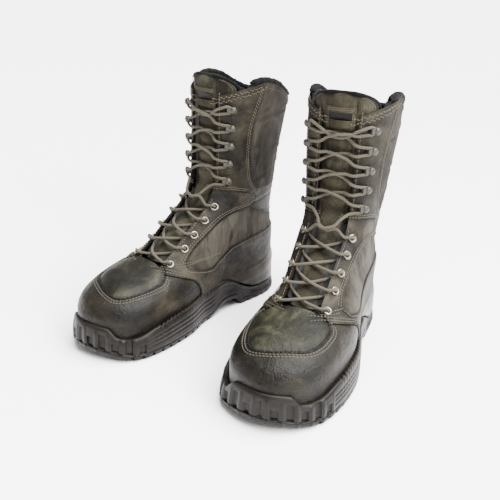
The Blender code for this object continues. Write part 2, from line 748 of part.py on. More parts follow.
def cord(points, radius, sides=5):
    """A round cord along points, its section carried along without twist."""
    tangents = []
    for i in range(len(points)):
        before = (points[i] - points[max(i - 1, 0)]).normalized()
        after = (points[min(i + 1, len(points) - 1)] - points[i]).normalized()
        tangents.append((before + after).normalized())
    across = tangents[0].orthogonal().normalized()
    loops = []
    for point, tangent in zip(points, tangents):
        across = (across - tangent * across.dot(tangent)).normalized()
        over = tangent.cross(across)
        turns = [2 * math.pi * k / sides for k in range(sides)]
        loops.append([point + (across * math.cos(t) + over * math.sin(t)) * radius for t in turns])
    return rings(loops)


# ---------------------------------------------------------------- placing the pieces

def boot_matrix(boot):
    """From a boot's own frame to its place in the pair."""
    return (Matrix.Translation((boot["x"], boot["y"], 0)) @ Matrix.Rotation(boot["turn"], 4, "Z")
            @ Matrix.Diagonal((boot["mirror"], 1, 1, 1)))


FINISHES = {
    "outsole_rubber": ((.030, .025, .021), .75, 0),
    "midsole_foam": ((.045, .038, .032), .80, 0),
    "clip_plastic": ((.060, .052, .046), .50, 0),
    "dark_leather": ((.050, .044, .033), .60, 0),
    "olive_leather": ((.085, .078, .058), .62, 0),
    "camo_textile": ((.190, .175, .150), .90, 0),
    "tongue_mesh": ((.160, .150, .105), .95, 0),
    "collar_fabric": ((.020, .018, .018), .85, 0),
    "insulated_lining": ((.040, .036, .034), .95, 0),
    "footbed_foam": ((.060, .055, .050), .90, 0),
    "board": ((.300, .240, .160), .85, 0),
    "stiffener_sheet": ((.550, .520, .450), .60, 0),
    "shank_steel": ((.500, .500, .500), .35, 1),
    "eyelet_metal": ((.620, .600, .560), .30, 1),
    "hook_metal": ((.200, .185, .140), .40, 1),
    "lace_cord": ((.250, .225, .165), .85, 0),
    "keeper_webbing": ((.200, .180, .130), .90, 0),
}


def finish(obj, name):
    """Give an object its own Principled material."""
    colour, rough, metal = FINISHES[name]
    material = bpy.data.materials.new(obj.name + "_" + name)
    material.use_nodes = True
    shader = material.node_tree.nodes["Principled BSDF"]
    shader.inputs["Base Color"].default_value = (*colour, 1)
    shader.inputs["Roughness"].default_value = rough
    shader.inputs["Metallic"].default_value = metal
    obj.data.materials.clear()
    obj.data.materials.append(material)


FLAT_ENOUGH = math.radians(0.9)


def thin(mesh):
    """Merge faces that lie flat against each other, where the mesh stays closed, and triangulate it."""
    for merge in (True, False):
        work = bmesh.new()
        work.from_mesh(mesh)
        if merge:
            bmesh.ops.dissolve_limit(work, angle_limit=FLAT_ENOUGH, verts=work.verts, edges=work.edges)
        bmesh.ops.triangulate(work, faces=work.faces)
        closed = all(edge.is_manifold for edge in work.edges)
        if closed or not merge:
            work.to_mesh(mesh)
        work.free()
        if closed:
            return


def place(mesh, boot_name, piece, finish_name, pivot=None):
    """Set a piece in its boot; a moving piece has its origin at pivot."""
    boot = BOOTS[boot_name]
    matrix = boot_matrix(boot)
    mesh = mesh.copy()
    mesh.transform(matrix)
    if boot["mirror"] < 0:
        mesh.flip_normals()
    obj = bpy.data.objects.new(f"{boot_name}_{piece}", mesh)
    bpy.context.scene.collection.objects.link(obj)
    if pivot is not None:
        origin = matrix @ pivot
        mesh.transform(Matrix.Translation(-origin))
        obj.location = origin
    thin(mesh)
    mesh.shade_smooth()
    mesh.set_sharp_from_angle(angle=math.radians(35))
    finish(obj, finish_name)
    return obj


def build_pieces():
    """Every solid piece of one boot in its own frame: name, mesh, finish and pivot."""
    blank = leather_blank()
    footbed_pivot = min(inside_loop(FOOTBED["depth"], FOOTBED["low"]), key=lambda p: p.y)
    footbed_pivot.x = 0
    pieces = [
        ("outsole", outsole(), "outsole_rubber", None),
        ("midsole", midsole(), "midsole_foam", None),
        ("shank", shank_block(0, SHANK_LIFT), "shank_steel", None),
        ("lasting_board", insole(**BOARD), "board", None),
        ("toe_puff", stiffener(range(-6, 7), 4), "stiffener_sheet", None),
        ("heel_counter", stiffener(range(8, 17), 5), "stiffener_sheet", None),
        ("insulated_bootie", bootie(), "insulated_lining", None),
        ("footbed", insole(**FOOTBED), "footbed_foam", footbed_pivot),
        ("mudguard", mudguard(blank), "dark_leather", None),
        ("vamp_plug", vamp_plug(blank), "olive_leather", None),
        ("ankle_band", ankle_band(blank), "olive_leather", None),
        ("rear_shaft_panel", rear_shaft(blank), "camo_textile", None),
        ("heel_clip", heel_clip(), "clip_plastic", None),
        ("collar_binding", collar(), "collar_fabric", None),
        ("tongue", tongue(), "tongue_mesh", tongue_hinge()),
        ("lace_keeper", lace_keeper(), "keeper_webbing", tongue_hinge()),
        ("lace", cord(lace_route(), LACE_RADIUS), "lace_cord", None),
    ]
    for word, side in (("lateral", 1), ("medial", -1)):
        pieces += [
            (f"{word}_quarter", quarter(blank, side), "olive_leather", None),
            (f"{word}_side_panel", side_panel(blank, side), "camo_textile", None),
            (f"{word}_hook_panel", hook_panel(blank, side), "olive_leather", None),
            (f"{word}_eyelet_row", eyelet_row(side), "eyelet_metal", None),
            (f"{word}_hook_row", hook_row(side), "hook_metal", None),
        ]
    return pieces


def main():
    """Clear the scene and build both boots."""
    for obj in list(bpy.data.objects):
        bpy.data.objects.remove(obj)
    pieces = build_pieces()
    for boot_name in BOOTS:
        for piece, mesh, finish_name, pivot in pieces:
            place(mesh, boot_name, piece, finish_name, pivot)


main()
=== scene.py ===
"""A pair of insulated lace-up hunting boots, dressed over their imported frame.

Every boot is worked out in its own frame: the toe points along -Y, the outer side of the
foot is +X and the ground is z = 0. The left boot uses that frame as it is and the right
boot is its mirror image; each piece is then stood in its boot's place. Sizes are metres.
"""
import logging
import math
from dataclasses import dataclass
from enum import Enum
from typing import Callable, Optional, Sequence

import bmesh
import bpy
import numpy as np
from mathutils import Matrix, Vector, noise
from mathutils.kdtree import KDTree


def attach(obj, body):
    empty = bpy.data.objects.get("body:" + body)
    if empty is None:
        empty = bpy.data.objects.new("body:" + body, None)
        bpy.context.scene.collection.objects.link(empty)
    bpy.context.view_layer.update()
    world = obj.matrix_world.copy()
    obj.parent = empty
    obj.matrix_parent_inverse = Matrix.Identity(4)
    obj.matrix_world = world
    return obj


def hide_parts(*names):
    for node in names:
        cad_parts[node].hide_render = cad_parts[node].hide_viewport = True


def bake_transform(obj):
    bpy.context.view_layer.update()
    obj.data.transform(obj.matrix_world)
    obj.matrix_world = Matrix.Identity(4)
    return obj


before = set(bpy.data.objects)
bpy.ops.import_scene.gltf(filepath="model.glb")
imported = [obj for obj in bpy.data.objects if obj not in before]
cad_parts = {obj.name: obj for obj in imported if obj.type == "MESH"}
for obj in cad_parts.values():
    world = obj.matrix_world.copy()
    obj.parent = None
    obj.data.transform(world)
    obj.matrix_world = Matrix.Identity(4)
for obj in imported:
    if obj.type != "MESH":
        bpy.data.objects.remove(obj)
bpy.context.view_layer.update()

MM = 0.001
TURN = 2 * math.pi
SIDES = (("lateral", 1.0), ("medial", -1.0))
DYE = 0.132  # how deep every dyed colour is, under the bright studio's light
RICH = 1.30  # how far a dyed colour is drawn away from grey
log = logging.getLogger("boots")

Array = np.ndarray
Mesh = bpy.types.Mesh
Work = bmesh.types.BMesh
Socket = bpy.types.NodeSocket
Shape = Callable[[Array, Array], Array]
Colour = tuple[float, float, float]
Points = Sequence[tuple[float, float]]


# ------------------------------------------------------------------ curves and the last

class Curve:
    """A smooth curve through a few points that never overshoots between them."""

    def __init__(self, *points: tuple[float, float]) -> None:
        """Work out the tangents at the points.

        Args:
            points: pairs of position and value, in rising order of position.
        """
        self.x = np.array([p[0] for p in points], float)
        self.y = np.array([p[1] for p in points], float)
        step = np.diff(self.x)
        slope = np.diff(self.y) / step
        tangent = np.zeros(len(self.x))
        tangent[0], tangent[-1] = slope[0], slope[-1]
        for i in range(1, len(slope)):
            if slope[i - 1] * slope[i] > 0:
                near, far = 2 * step[i] + step[i - 1], step[i] + 2 * step[i - 1]
                tangent[i] = (near + far) / (near / slope[i - 1] + far / slope[i])
        self.tangent = tangent

    def __call__(self, value: Array) -> Array:
        """Read the curve.

        Args:
            value: one position, or an array of them.

        Returns:
            The curve's value at each position.
        """
        value = np.clip(np.asarray(value, float), self.x[0], self.x[-1])
        i = np.clip(np.searchsorted(self.x, value, side="right") - 1, 0, len(self.x) - 2)
        step = self.x[i + 1] - self.x[i]
        t = (value - self.x[i]) / step
        a, b = self.y[i], self.y[i + 1]
        da, db = self.tangent[i] * step, self.tangent[i + 1] * step
        return a + t * (da + t * (3 * (b - a) - 2 * da - db + t * (2 * (a - b) + da + db)))


def ease(value: Array) -> Array:
    """Ease values from 0 to 1."""
    value = np.clip(value, 0.0, 1.0)
    return value * value * (3 - 2 * value)


def bump(value: Array, centre: float, width: float) -> Array:
    """A soft hump of height 1 and the given width about centre."""
    return np.exp(-((np.asarray(value) - centre) / (width / 2)) ** 2)


def flow(points: Points, steps: int = 6) -> list[tuple[float, float]]:
    """A smooth line through a few points.

    Args:
        points: the points that the line passes through.
        steps: how many pieces each stretch is divided into.

    Returns:
        The line's points, the first and last being those given.
    """
    pts = [np.array(p, float) for p in points]
    pts = [2 * pts[0] - pts[1]] + pts + [2 * pts[-1] - pts[-2]]
    line = []
    for a, b, c, d in zip(pts, pts[1:], pts[2:], pts[3:]):
        for k in range(steps):
            t = k / steps
            line.append(0.5 * (2 * b + (c - a) * t + (2 * a - 5 * b + 4 * c - d) * t * t
                               + (3 * b - a - 3 * c + d) * t ** 3))
    line.append(pts[-2])
    return [tuple(p) for p in line]


@dataclass(frozen=True)
class Last:
    """The shape that the boot is lasted on: its outline, its profile and its face."""

    sole_toe: float = -0.1604
    sole_heel: float = 0.1526
    floor_at_toe: float = 0.0272
    floor_slope: float = 0.047
    feather: float = 0.89
    shaft_square: float = 0.20
    blend_from: float = 0.050
    blend_to: float = 0.125
    outer: Curve = Curve((0, .080), (.06, .0825), (.12, .081), (.2, .0768), (.3, .0718), (.38, .0678),
                         (.5, .0589), (.62, .0522), (.72, .0532), (.82, .0600), (.9, .0700), (.96, .0760),
                         (1, .0780))
    inner: Curve = Curve((0, .095), (.06, .0985), (.12, .0906), (.2, .0790), (.3, .0676), (.38, .0600),
                         (.5, .0468), (.62, .0438), (.72, .0495), (.82, .0595), (.9, .0710), (.96, .0780),
                         (1, .0800))
    front: Curve = Curve((.015, -.1530), (.045, -.1540), (.058, -.1480), (.066, -.1360), (.074, -.1120),
                         (.080, -.0880), (.086, -.0660), (.091, -.0570), (.1155, -.0260), (.1425, .0110),
                         (.155, .0200), (.172, .0265), (.200, .0285), (.230, .0300), (.260, .0300),
                         (.300, .0270))
    back: Curve = Curve((.015, .1470), (.060, .1482), (.120, .1462), (.176, .1460), (.229, .1540),
                        (.262, .1620), (.300, .1680))
    shaft_half: Curve = Curve((.060, .0420), (.120, .0400), (.150, .0405), (.172, .0425), (.200, .0450),
                              (.230, .0475), (.260, .0495), (.300, .0510))
    topline: Curve = Curve((.030, .2845), (.045, .2830), (.065, .2855), (.083, .2880), (.105, .2840),
                           (.130, .2720), (.150, .2640), (.170, .2620))
    rim: Curve = Curve((-.1604, .0420), (-.150, .0400), (-.142, .0290), (-.132, .0270), (-.100, .0340),
                       (-.070, .0380), (-.030, .0400), (.010, .0412), (.032, .0425), (.045, .0390),
                       (.062, .0290), (.080, .0205), (.095, .0180), (.1526, .0190))
    underside: Curve = Curve((-.1604, .0090), (-.140, .0030), (-.120, 0), (0, 0), (.012, .0030),
                             (.030, .0105), (.052, .0110), (.058, .0060), (.064, 0), (.140, 0),
                             (.1526, .0030))

    def sole_point(self, angle: Array, inset: Array) -> tuple[Array, Array]:
        """Points on the sole's outline.

        Args:
            angle: angles round the sole, 0 at the toe and pi at the heel.
            inset: how far in from the edge.

        Returns:
            The points' x and y.
        """
        centre, reach = (self.sole_toe + self.sole_heel) / 2, (self.sole_heel - self.sole_toe) / 2
        y = centre - reach * np.cos(angle)
        share = (y - self.sole_toe) / (self.sole_heel - self.sole_toe)
        side = np.sin(angle)
        x = np.where(side >= 0, self.outer(share), self.inner(share)) * side
        out = np.maximum(np.abs(x), 1e-9)
        x = x * np.maximum(out - inset, 0) / out
        return x, centre + (y - centre) * (1 - inset / reach)

    def face(self, angle: Array, z: Array) -> Array:
        """Points on the upper's outer face, one row each."""
        angle, z = np.broadcast_arrays(np.asarray(angle, float), np.asarray(z, float))
        front, back = self.front(z), self.back(z)
        y = (front + back) / 2 - (back - front) / 2 * np.cos(angle)
        share = (y - self.sole_toe) / (self.sole_heel - self.sole_toe)
        low = self.feather * np.where(np.sin(angle) >= 0, self.outer(share), self.inner(share))
        high = self.shaft_half(z) * (1 + self.shaft_square * np.cos(angle) ** 2)
        mix = ease((z - self.blend_from) / (self.blend_to - self.blend_from))
        return np.stack([(low + (high - low) * mix) * np.sin(angle), y, z], axis=-1)

    def normal(self, angle: Array, z: Array) -> Array:
        """The outward direction of the upper's face."""
        step, rise = 0.02, 0.0015
        along = self.face(angle + step, z) - self.face(angle - step, z)
        up = self.face(angle, z + rise) - self.face(angle, z - rise)
        out = np.cross(along, up)
        return out / np.linalg.norm(out, axis=-1, keepdims=True)

    def skin(self, angle: Array, z: Array, depth: Array) -> Array:
        """Points below the upper's outer face by depth, or above it where depth is negative."""
        angle, z = np.asarray(angle, float), np.asarray(z, float)
        depth = np.asarray(depth, float)[..., None] if np.ndim(depth) else depth
        return self.face(angle, z) - self.normal(angle, z) * depth

    def angle_of(self, y: Array, z: Array, side: Array) -> Array:
        """The angle at which the upper's face has y at a height, on one side of the boot."""
        front, back = self.front(z), self.back(z)
        share = ((front + back) / 2 - y) / ((back - front) / 2)
        return np.arccos(np.clip(share, -1, 1)) * np.where(np.asarray(side) >= 0, 1.0, -1.0)

    def angle_across(self, x: Array, z: Array) -> Array:
        """The angle on the front half at which the upper's face reaches x at a height."""
        x, z = np.broadcast_arrays(np.asarray(x, float), np.asarray(z, float))
        side = np.where(x >= 0, 1.0, -1.0)
        low, high = np.zeros(x.shape), np.full(x.shape, math.pi / 2)
        for _ in range(32):
            middle = (low + high) / 2
            short = self.face(middle * side, z)[..., 0] * side < np.abs(x)
            low, high = np.where(short, middle, low), np.where(short, high, middle)
        return low * side

    def stay(self, x: Array, z: Array, depth: Array = 0.0) -> Array:
        """Points under the upper's face, given across and by height."""
        return self.skin(self.angle_across(x, z), z, depth)

    def plan_angle(self, x: Array, y: Array) -> tuple[Array, Array]:
        """The angle and height at which the toe's face stands over a point of the plan."""
        x, y = np.broadcast_arrays(np.asarray(x, float), np.asarray(y, float))
        low, high = np.full(x.shape, 0.045), np.full(x.shape, 0.130)
        for _ in range(32):
            middle = (low + high) / 2
            angle = self.angle_of(y, middle, x)
            wide = np.abs(self.face(angle, middle)[..., 0]) > np.abs(x)
            wide &= self.front(middle) < y
            low, high = np.where(wide, middle, low), np.where(wide, high, middle)
        return self.angle_of(y, low, x), low

    def floor(self, y: Array) -> Array:
        """Height of the flat, tilted seat that the foot stands over."""
        return self.floor_at_toe + self.floor_slope * np.asarray(y)

    def seat(self, angle: Array) -> Array:
        """Height of the seat under the upper's edge."""
        z = np.full(np.shape(angle), 0.03)
        for _ in range(3):
            z = self.floor(self.face(angle, z)[..., 1])
        return z

    def top(self, angle: Array) -> Array:
        """Height of the topline round the shaft."""
        return self.topline(self.face(angle, np.full(np.shape(angle), 0.28))[..., 1])

    def axes(self, x: float, z: float) -> Matrix:
        """A matrix set on the face: +Z out of it, +X away from the throat, +Y up the boot."""
        angle = self.angle_across(x, z)
        origin, out = Vector(self.face(angle, z)), Vector(self.normal(angle, z))
        up = (Vector((0, 0, 1)) - out * out.z).normalized()
        away = up.cross(out).normalized()
        away = away if away.x * x > 0 else -away
        columns = (away, up, out, origin)
        return Matrix([[c[i] for c in columns] for i in range(3)] + [[0, 0, 0, 1]])


# ------------------------------------------------------------------ materials

class Graph:
    """A material's node tree under construction."""

    def __init__(self, name: str) -> None:
        """Start a material with its shader and its object coordinates."""
        self.material = bpy.data.materials.new(name)
        self.material.use_nodes = True
        self.tree = self.material.node_tree
        self.shader = self.tree.nodes["Principled BSDF"]
        self.place = self.add("TexCoord").outputs["Object"]
        self.dye = DYE

    def add(self, kind: str, values: Optional[dict] = None, **settings: object) -> bpy.types.Node:
        """Add a node.

        Args:
            kind: the node's type, without its ShaderNode prefix.
            values: a value or a source socket for each named or numbered input.
            settings: the node's own properties.

        Returns:
            The new node.
        """
        node = self.tree.nodes.new("ShaderNode" + kind)
        for key, value in settings.items():
            setattr(node, key, value)
        for key, value in (values or {}).items():
            self.feed(node, key, value)
        return node

    def feed(self, node: bpy.types.Node, key: object, value: object) -> None:
        """Give one input a value, or link it to a source socket."""
        if isinstance(value, Socket):
            self.tree.links.new(value, node.inputs[key])
            return
        socket = node.inputs[key]
        socket.default_value = (*self.dyed(value), 1.0) if socket.type == "RGBA" else value

    def dyed(self, colour: Colour, plain: bool = False) -> Colour:
        """A colour made richer and, unless it is plain, deeper, to stand in the bright studio."""
        grey = sum(colour) / 3
        dye = 1.0 if plain else self.dye
        return tuple(max(grey + (part - grey) * RICH, 0.0) * dye for part in colour)

    def noise(self, scale: float, detail: float = 3.0, rough: float = 0.55, warp: float = 0.0,
              stretch: Colour = (1, 1, 1)) -> Socket:
        """Soft noise on the piece's coordinates, stretched where asked."""
        vector = self.add("Mapping", {"Vector": self.place, "Scale": stretch}).outputs[0]
        values = {"Vector": vector, "Scale": scale, "Detail": detail, "Roughness": rough, "Distortion": warp}
        return self.add("TexNoise", values).outputs["Fac"]

    def cells(self, scale: float) -> Socket:
        """Distance to the middle of scattered cells."""
        return self.add("TexVoronoi", {"Vector": self.place, "Scale": scale}).outputs["Distance"]

    def ramp(self, source: Socket, stops: Sequence[tuple[float, Colour]], plain: bool = False) -> Socket:
        """Turn a value into colours; plain ones only shade another colour."""
        node = self.add("ValToRGB", {"Fac": source})
        elements = node.color_ramp.elements
        while len(elements) < len(stops):
            elements.new(0.5)
        for element, (position, colour) in zip(elements, stops):
            element.position = position
            element.color = (*self.dyed(colour, plain), 1.0)
        return node.outputs["Color"]

    def mask(self, source: Socket, low: float, high: float) -> Socket:
        """Stretch part of a value's range to the whole of 0 to 1."""
        values = {"Value": source, "From Min": low, "From Max": high}
        return self.add("MapRange", values, interpolation_type="SMOOTHSTEP").outputs["Result"]

    def span(self, source: Socket, low: float, high: float) -> Socket:
        """Bring a value from 0 to 1 into a range."""
        return self.add("MapRange", {"Value": source, "To Min": low, "To Max": high}).outputs["Result"]

    def mix(self, share: object, first: object, second: object, blend: str = "MIX") -> Socket:
        """Mix two colours."""
        values = {"Fac": share, "Color1": first, "Color2": second}
        return self.add("MixRGB", values, blend_type=blend).outputs["Color"]

    def sum(self, operation: str, first: object, second: object) -> Socket:
        """Work out a sum of two values."""
        return self.add("Math", {0: first, 1: second}, operation=operation).outputs[0]

    def relief(self, heights: Sequence[tuple[Socket, float]]) -> None:
        """Lay fine relief on the surface.

        Args:
            heights: pairs of a value from 0 to 1 and its depth in metres.
        """
        normal = None
        for height, depth in heights:
            values = {"Height": height, "Distance": depth, "Strength": 1.0}
            if normal:
                values["Normal"] = normal
            normal = self.add("Bump", values).outputs["Normal"]
        self.feed(self.shader, "Normal", normal)

    def attribute(self, name: str) -> Socket:
        """Read a value kept on the mesh."""
        return self.add("Attribute", attribute_name=name).outputs["Fac"]


@dataclass(frozen=True)
class Finish:
    """A surface finish; each kind builds its own material."""

    name: str

    def material(self) -> bpy.types.Material:
        """The finish's material, made once."""
        made = bpy.data.materials.get(self.name)
        return made or self.build(Graph(self.name))

    def build(self, graph: Graph) -> bpy.types.Material:
        """Build the node tree."""
        raise NotImplementedError


@dataclass(frozen=True)
class Leather(Finish):
    """Oiled leather printed with a mottled woodland pattern, burnished along its edges."""

    deep: Colour
    dark: Colour
    middle: Colour
    light: Colour
    patch: float = 30.0
    balance: float = 0.0
    rough: float = 0.50
    streak: float = 0.45

    def build(self, graph: Graph) -> bpy.types.Material:
        """Build the node tree."""
        patches = graph.noise(self.patch, 5.0, 0.58, 0.9, (1.0, 0.8, 1.0))
        stops = [(0.36, self.deep), (0.46, self.dark), (0.56, self.middle), (0.68, self.light)]
        colour = graph.ramp(graph.sum("ADD", patches, self.balance), stops)
        smear = graph.mask(graph.noise(self.patch * 2.6, 6.0, 0.7, 0.6, (1.0, 0.45, 1.6)), 0.52, 0.70)
        colour = graph.mix(graph.sum("MULTIPLY", smear, self.streak), colour, self.deep)
        glint = graph.mask(graph.noise(self.patch * 3.1, 5.0, 0.65, 0.4, (1.5, 0.5, 1.0)), 0.58, 0.74)
        colour = graph.mix(graph.sum("MULTIPLY", glint, 0.40), colour, self.light)
        grain = graph.noise(900.0, 3.0, 0.6)
        shade = graph.ramp(grain, [(0.3, (0.35, 0.33, 0.30)), (0.7, (1, 1, 1))], plain=True)
        colour = graph.mix(0.30, colour, shade, "MULTIPLY")
        worn = graph.sum("MULTIPLY", graph.attribute("edge"), graph.span(graph.noise(160.0, 3.0), 0.1, 0.75))
        colour = graph.mix(worn, colour, self.deep)
        graph.feed(graph.shader, "Base Color", colour)
        gloss = graph.span(graph.noise(70.0, 4.0), self.rough - 0.10, self.rough + 0.16)
        graph.feed(graph.shader, "Roughness", gloss)
        graph.feed(graph.shader, "Specular IOR Level", 0.12)
        pebble = graph.mask(graph.cells(620.0), 0.0, 0.75)
        folds = graph.noise(95.0, 5.0, 0.65, 0.8, (1.0, 1.0, 2.2))
        graph.relief([(folds, 0.0011), (pebble, 0.00022), (grain, 0.00012)])
        return graph.material


@dataclass(frozen=True)
class Textile(Finish):
    """Tough woven cloth printed with bark-like smears."""

    dark: Colour
    middle: Colour
    light: Colour
    patch: float = 24.0
    pitch: float = 0.0009
    balance: float = 0.0
    smear: float = 0.8

    def build(self, graph: Graph) -> bpy.types.Material:
        """Build the node tree."""
        patches = graph.noise(self.patch, 5.0, 0.6, 1.2, (1.0, 1.0, 0.6))
        colour = graph.ramp(graph.sum("ADD", patches, self.balance),
                            [(0.34, self.dark), (0.47, self.middle), (0.62, self.light)])
        bark = graph.mask(graph.noise(self.patch * 3.0, 6.0, 0.68, 0.5, (1.4, 1.4, 0.36)), 0.53, 0.68)
        colour = graph.mix(graph.sum("MULTIPLY", bark, self.smear), colour, self.dark)
        weave = graph.add("UVMap", uv_map="weave").outputs[0]
        threads = []
        for direction in ("X", "Y"):
            values = {"Vector": weave, "Scale": 1.0 / self.pitch / TURN * 2, "Distortion": 0.6, "Detail": 1.0}
            threads.append(graph.add("TexWave", values, bands_direction=direction).outputs["Fac"])
        cloth = graph.sum("MULTIPLY", threads[0], threads[1])
        shade = graph.ramp(cloth, [(0.0, (0.52, 0.50, 0.47)), (0.6, (1.05, 1.05, 1.05))], plain=True)
        colour = graph.mix(0.75, colour, shade, "MULTIPLY")
        # darker where 'edge' is marked: along the cloth panels' cut edges, and a painted shadow over the
        # tongue's recessed lower flanks
        edge = graph.sum("MULTIPLY", graph.attribute("edge"), 0.55)
        colour = graph.mix(edge, colour, self.dark)
        graph.feed(graph.shader, "Base Color", colour)
        graph.feed(graph.shader, "Roughness", graph.span(graph.noise(300.0), 0.74, 0.95))
        graph.feed(graph.shader, "Specular IOR Level", 0.08)
        graph.feed(graph.shader, "Sheen Weight", 0.02)
        graph.relief([(graph.noise(60.0, 4.0, 0.6), 0.0009), (cloth, 0.0002)])
        return graph.material


@dataclass(frozen=True)
class Moulded(Finish):
    """Moulded rubber, foam or plastic, scuffed, and lighter where its edge value is marked: a painted
    highlight on the heel cup's shoulder and a lighter band along the sole's rim.
    """

    body: Colour
    lift: Colour
    rough: float = 0.62
    tread: Optional[Colour] = None
    grain: float = 0.00012

    def build(self, graph: Graph) -> bpy.types.Material:
        """Build the node tree."""
        colour = graph.ramp(graph.noise(42.0, 5.0, 0.62, 0.6), [(0.36, self.body), (0.68, self.lift)])
        if self.tread:
            colour = graph.mix(graph.attribute("tread"), colour, self.tread)
        scuffs = graph.mask(graph.noise(260.0, 5.0, 0.7, 0.4, (1.0, 1.0, 4.0)), 0.60, 0.74)
        colour = graph.mix(graph.sum("MULTIPLY", scuffs, 0.30), colour, self.lift)
        # lighter where 'edge' is marked: a painted highlight on the heel cup's shoulder, and a lighter band
        # along the sole wall's rim
        colour = graph.mix(graph.sum("MULTIPLY", graph.attribute("edge"), 0.5), colour, self.lift)
        graph.feed(graph.shader, "Base Color", colour)
        gloss = graph.span(graph.noise(120.0, 4.0), self.rough - 0.12, self.rough + 0.14)
        graph.feed(graph.shader, "Roughness", gloss)
        graph.feed(graph.shader, "Specular IOR Level", 0.13)
        graph.relief([(graph.noise(1400.0, 2.0), self.grain), (graph.noise(140.0, 3.0), 0.0002)])
        return graph.material


@dataclass(frozen=True)
class Plated(Finish):
    """Plated or enamelled metal with a little tarnish."""

    bright: Colour
    dull: Colour
    rough: float = 0.30
    metal: float = 1.0
    shine: float = 0.42

    def build(self, graph: Graph) -> bpy.types.Material:
        """Build the node tree."""
        graph.dye = self.shine
        tarnish = graph.noise(420.0, 4.0, 0.6)
        graph.feed(graph.shader, "Base Color", graph.ramp(tarnish, [(0.40, self.dull), (0.62, self.bright)]))
        graph.feed(graph.shader, "Roughness", graph.span(tarnish, self.rough - 0.06, self.rough + 0.18))
        graph.feed(graph.shader, "Metallic", self.metal)
        graph.relief([(graph.noise(900.0, 2.0), 0.00005)])
        return graph.material


@dataclass(frozen=True)
class Braid(Finish):
    """Braided or twisted cord, with painted shade in the hollows between its strands; its pattern follows the
    cord's own length and turn.
    """

    light: Colour
    dark: Colour
    strands: float = 6.0
    pitch: float = 0.0042
    bright: float = 0.225

    def build(self, graph: Graph) -> bpy.types.Material:
        """Build the node tree."""
        graph.dye = self.bright
        weave = graph.add("UVMap", uv_map="weave").outputs[0]
        parts = graph.add("SeparateXYZ", {0: weave})
        along = graph.sum("MULTIPLY", parts.outputs[0], TURN / self.pitch)
        turns = []
        for sign in (1.0, -1.0):
            around = graph.sum("MULTIPLY", parts.outputs[1], sign * self.strands * TURN / 2)
            wave = graph.sum("SINE", graph.sum("ADD", along, around), 0.0)
            turns.append(graph.span(graph.sum("ABSOLUTE", wave, 0.0), 0.0, 1.0))
        height = graph.sum("MULTIPLY", turns[0], turns[1])
        # painted shade: the low parts of the twist are coloured dark and the high parts light
        colour = graph.ramp(height, [(0.05, self.dark), (0.5, self.light)])
        flecks = graph.mask(graph.noise(700.0, 3.0), 0.56, 0.70)
        colour = graph.mix(graph.sum("MULTIPLY", flecks, 0.45), colour, self.dark)
        graph.feed(graph.shader, "Base Color", colour)
        graph.feed(graph.shader, "Roughness", 0.85)
        graph.feed(graph.shader, "Sheen Weight", 0.02)
        graph.relief([(height, 0.0003)])
        return graph.material


@dataclass(frozen=True)
class Pile(Finish):
    """Brushed lining, foam cover or board: soft cloth with a fine nap."""

    body: Colour
    lift: Colour
    depth: float = 0.0005
    scale: float = 700.0

    def build(self, graph: Graph) -> bpy.types.Material:
        """Build the node tree."""
        nap = graph.noise(self.scale, 4.0, 0.7)
        tone = graph.noise(60.0, 3.0)
        colour = graph.ramp(graph.sum("MULTIPLY", graph.sum("ADD", nap, tone), 0.5),
                            [(0.40, self.body), (0.62, self.lift)])
        graph.feed(graph.shader, "Base Color", colour)
        graph.feed(graph.shader, "Roughness", graph.span(tone, 0.86, 0.98))
        graph.feed(graph.shader, "Sheen Weight", 0.02)
        graph.relief([(nap, self.depth)])
        return graph.material


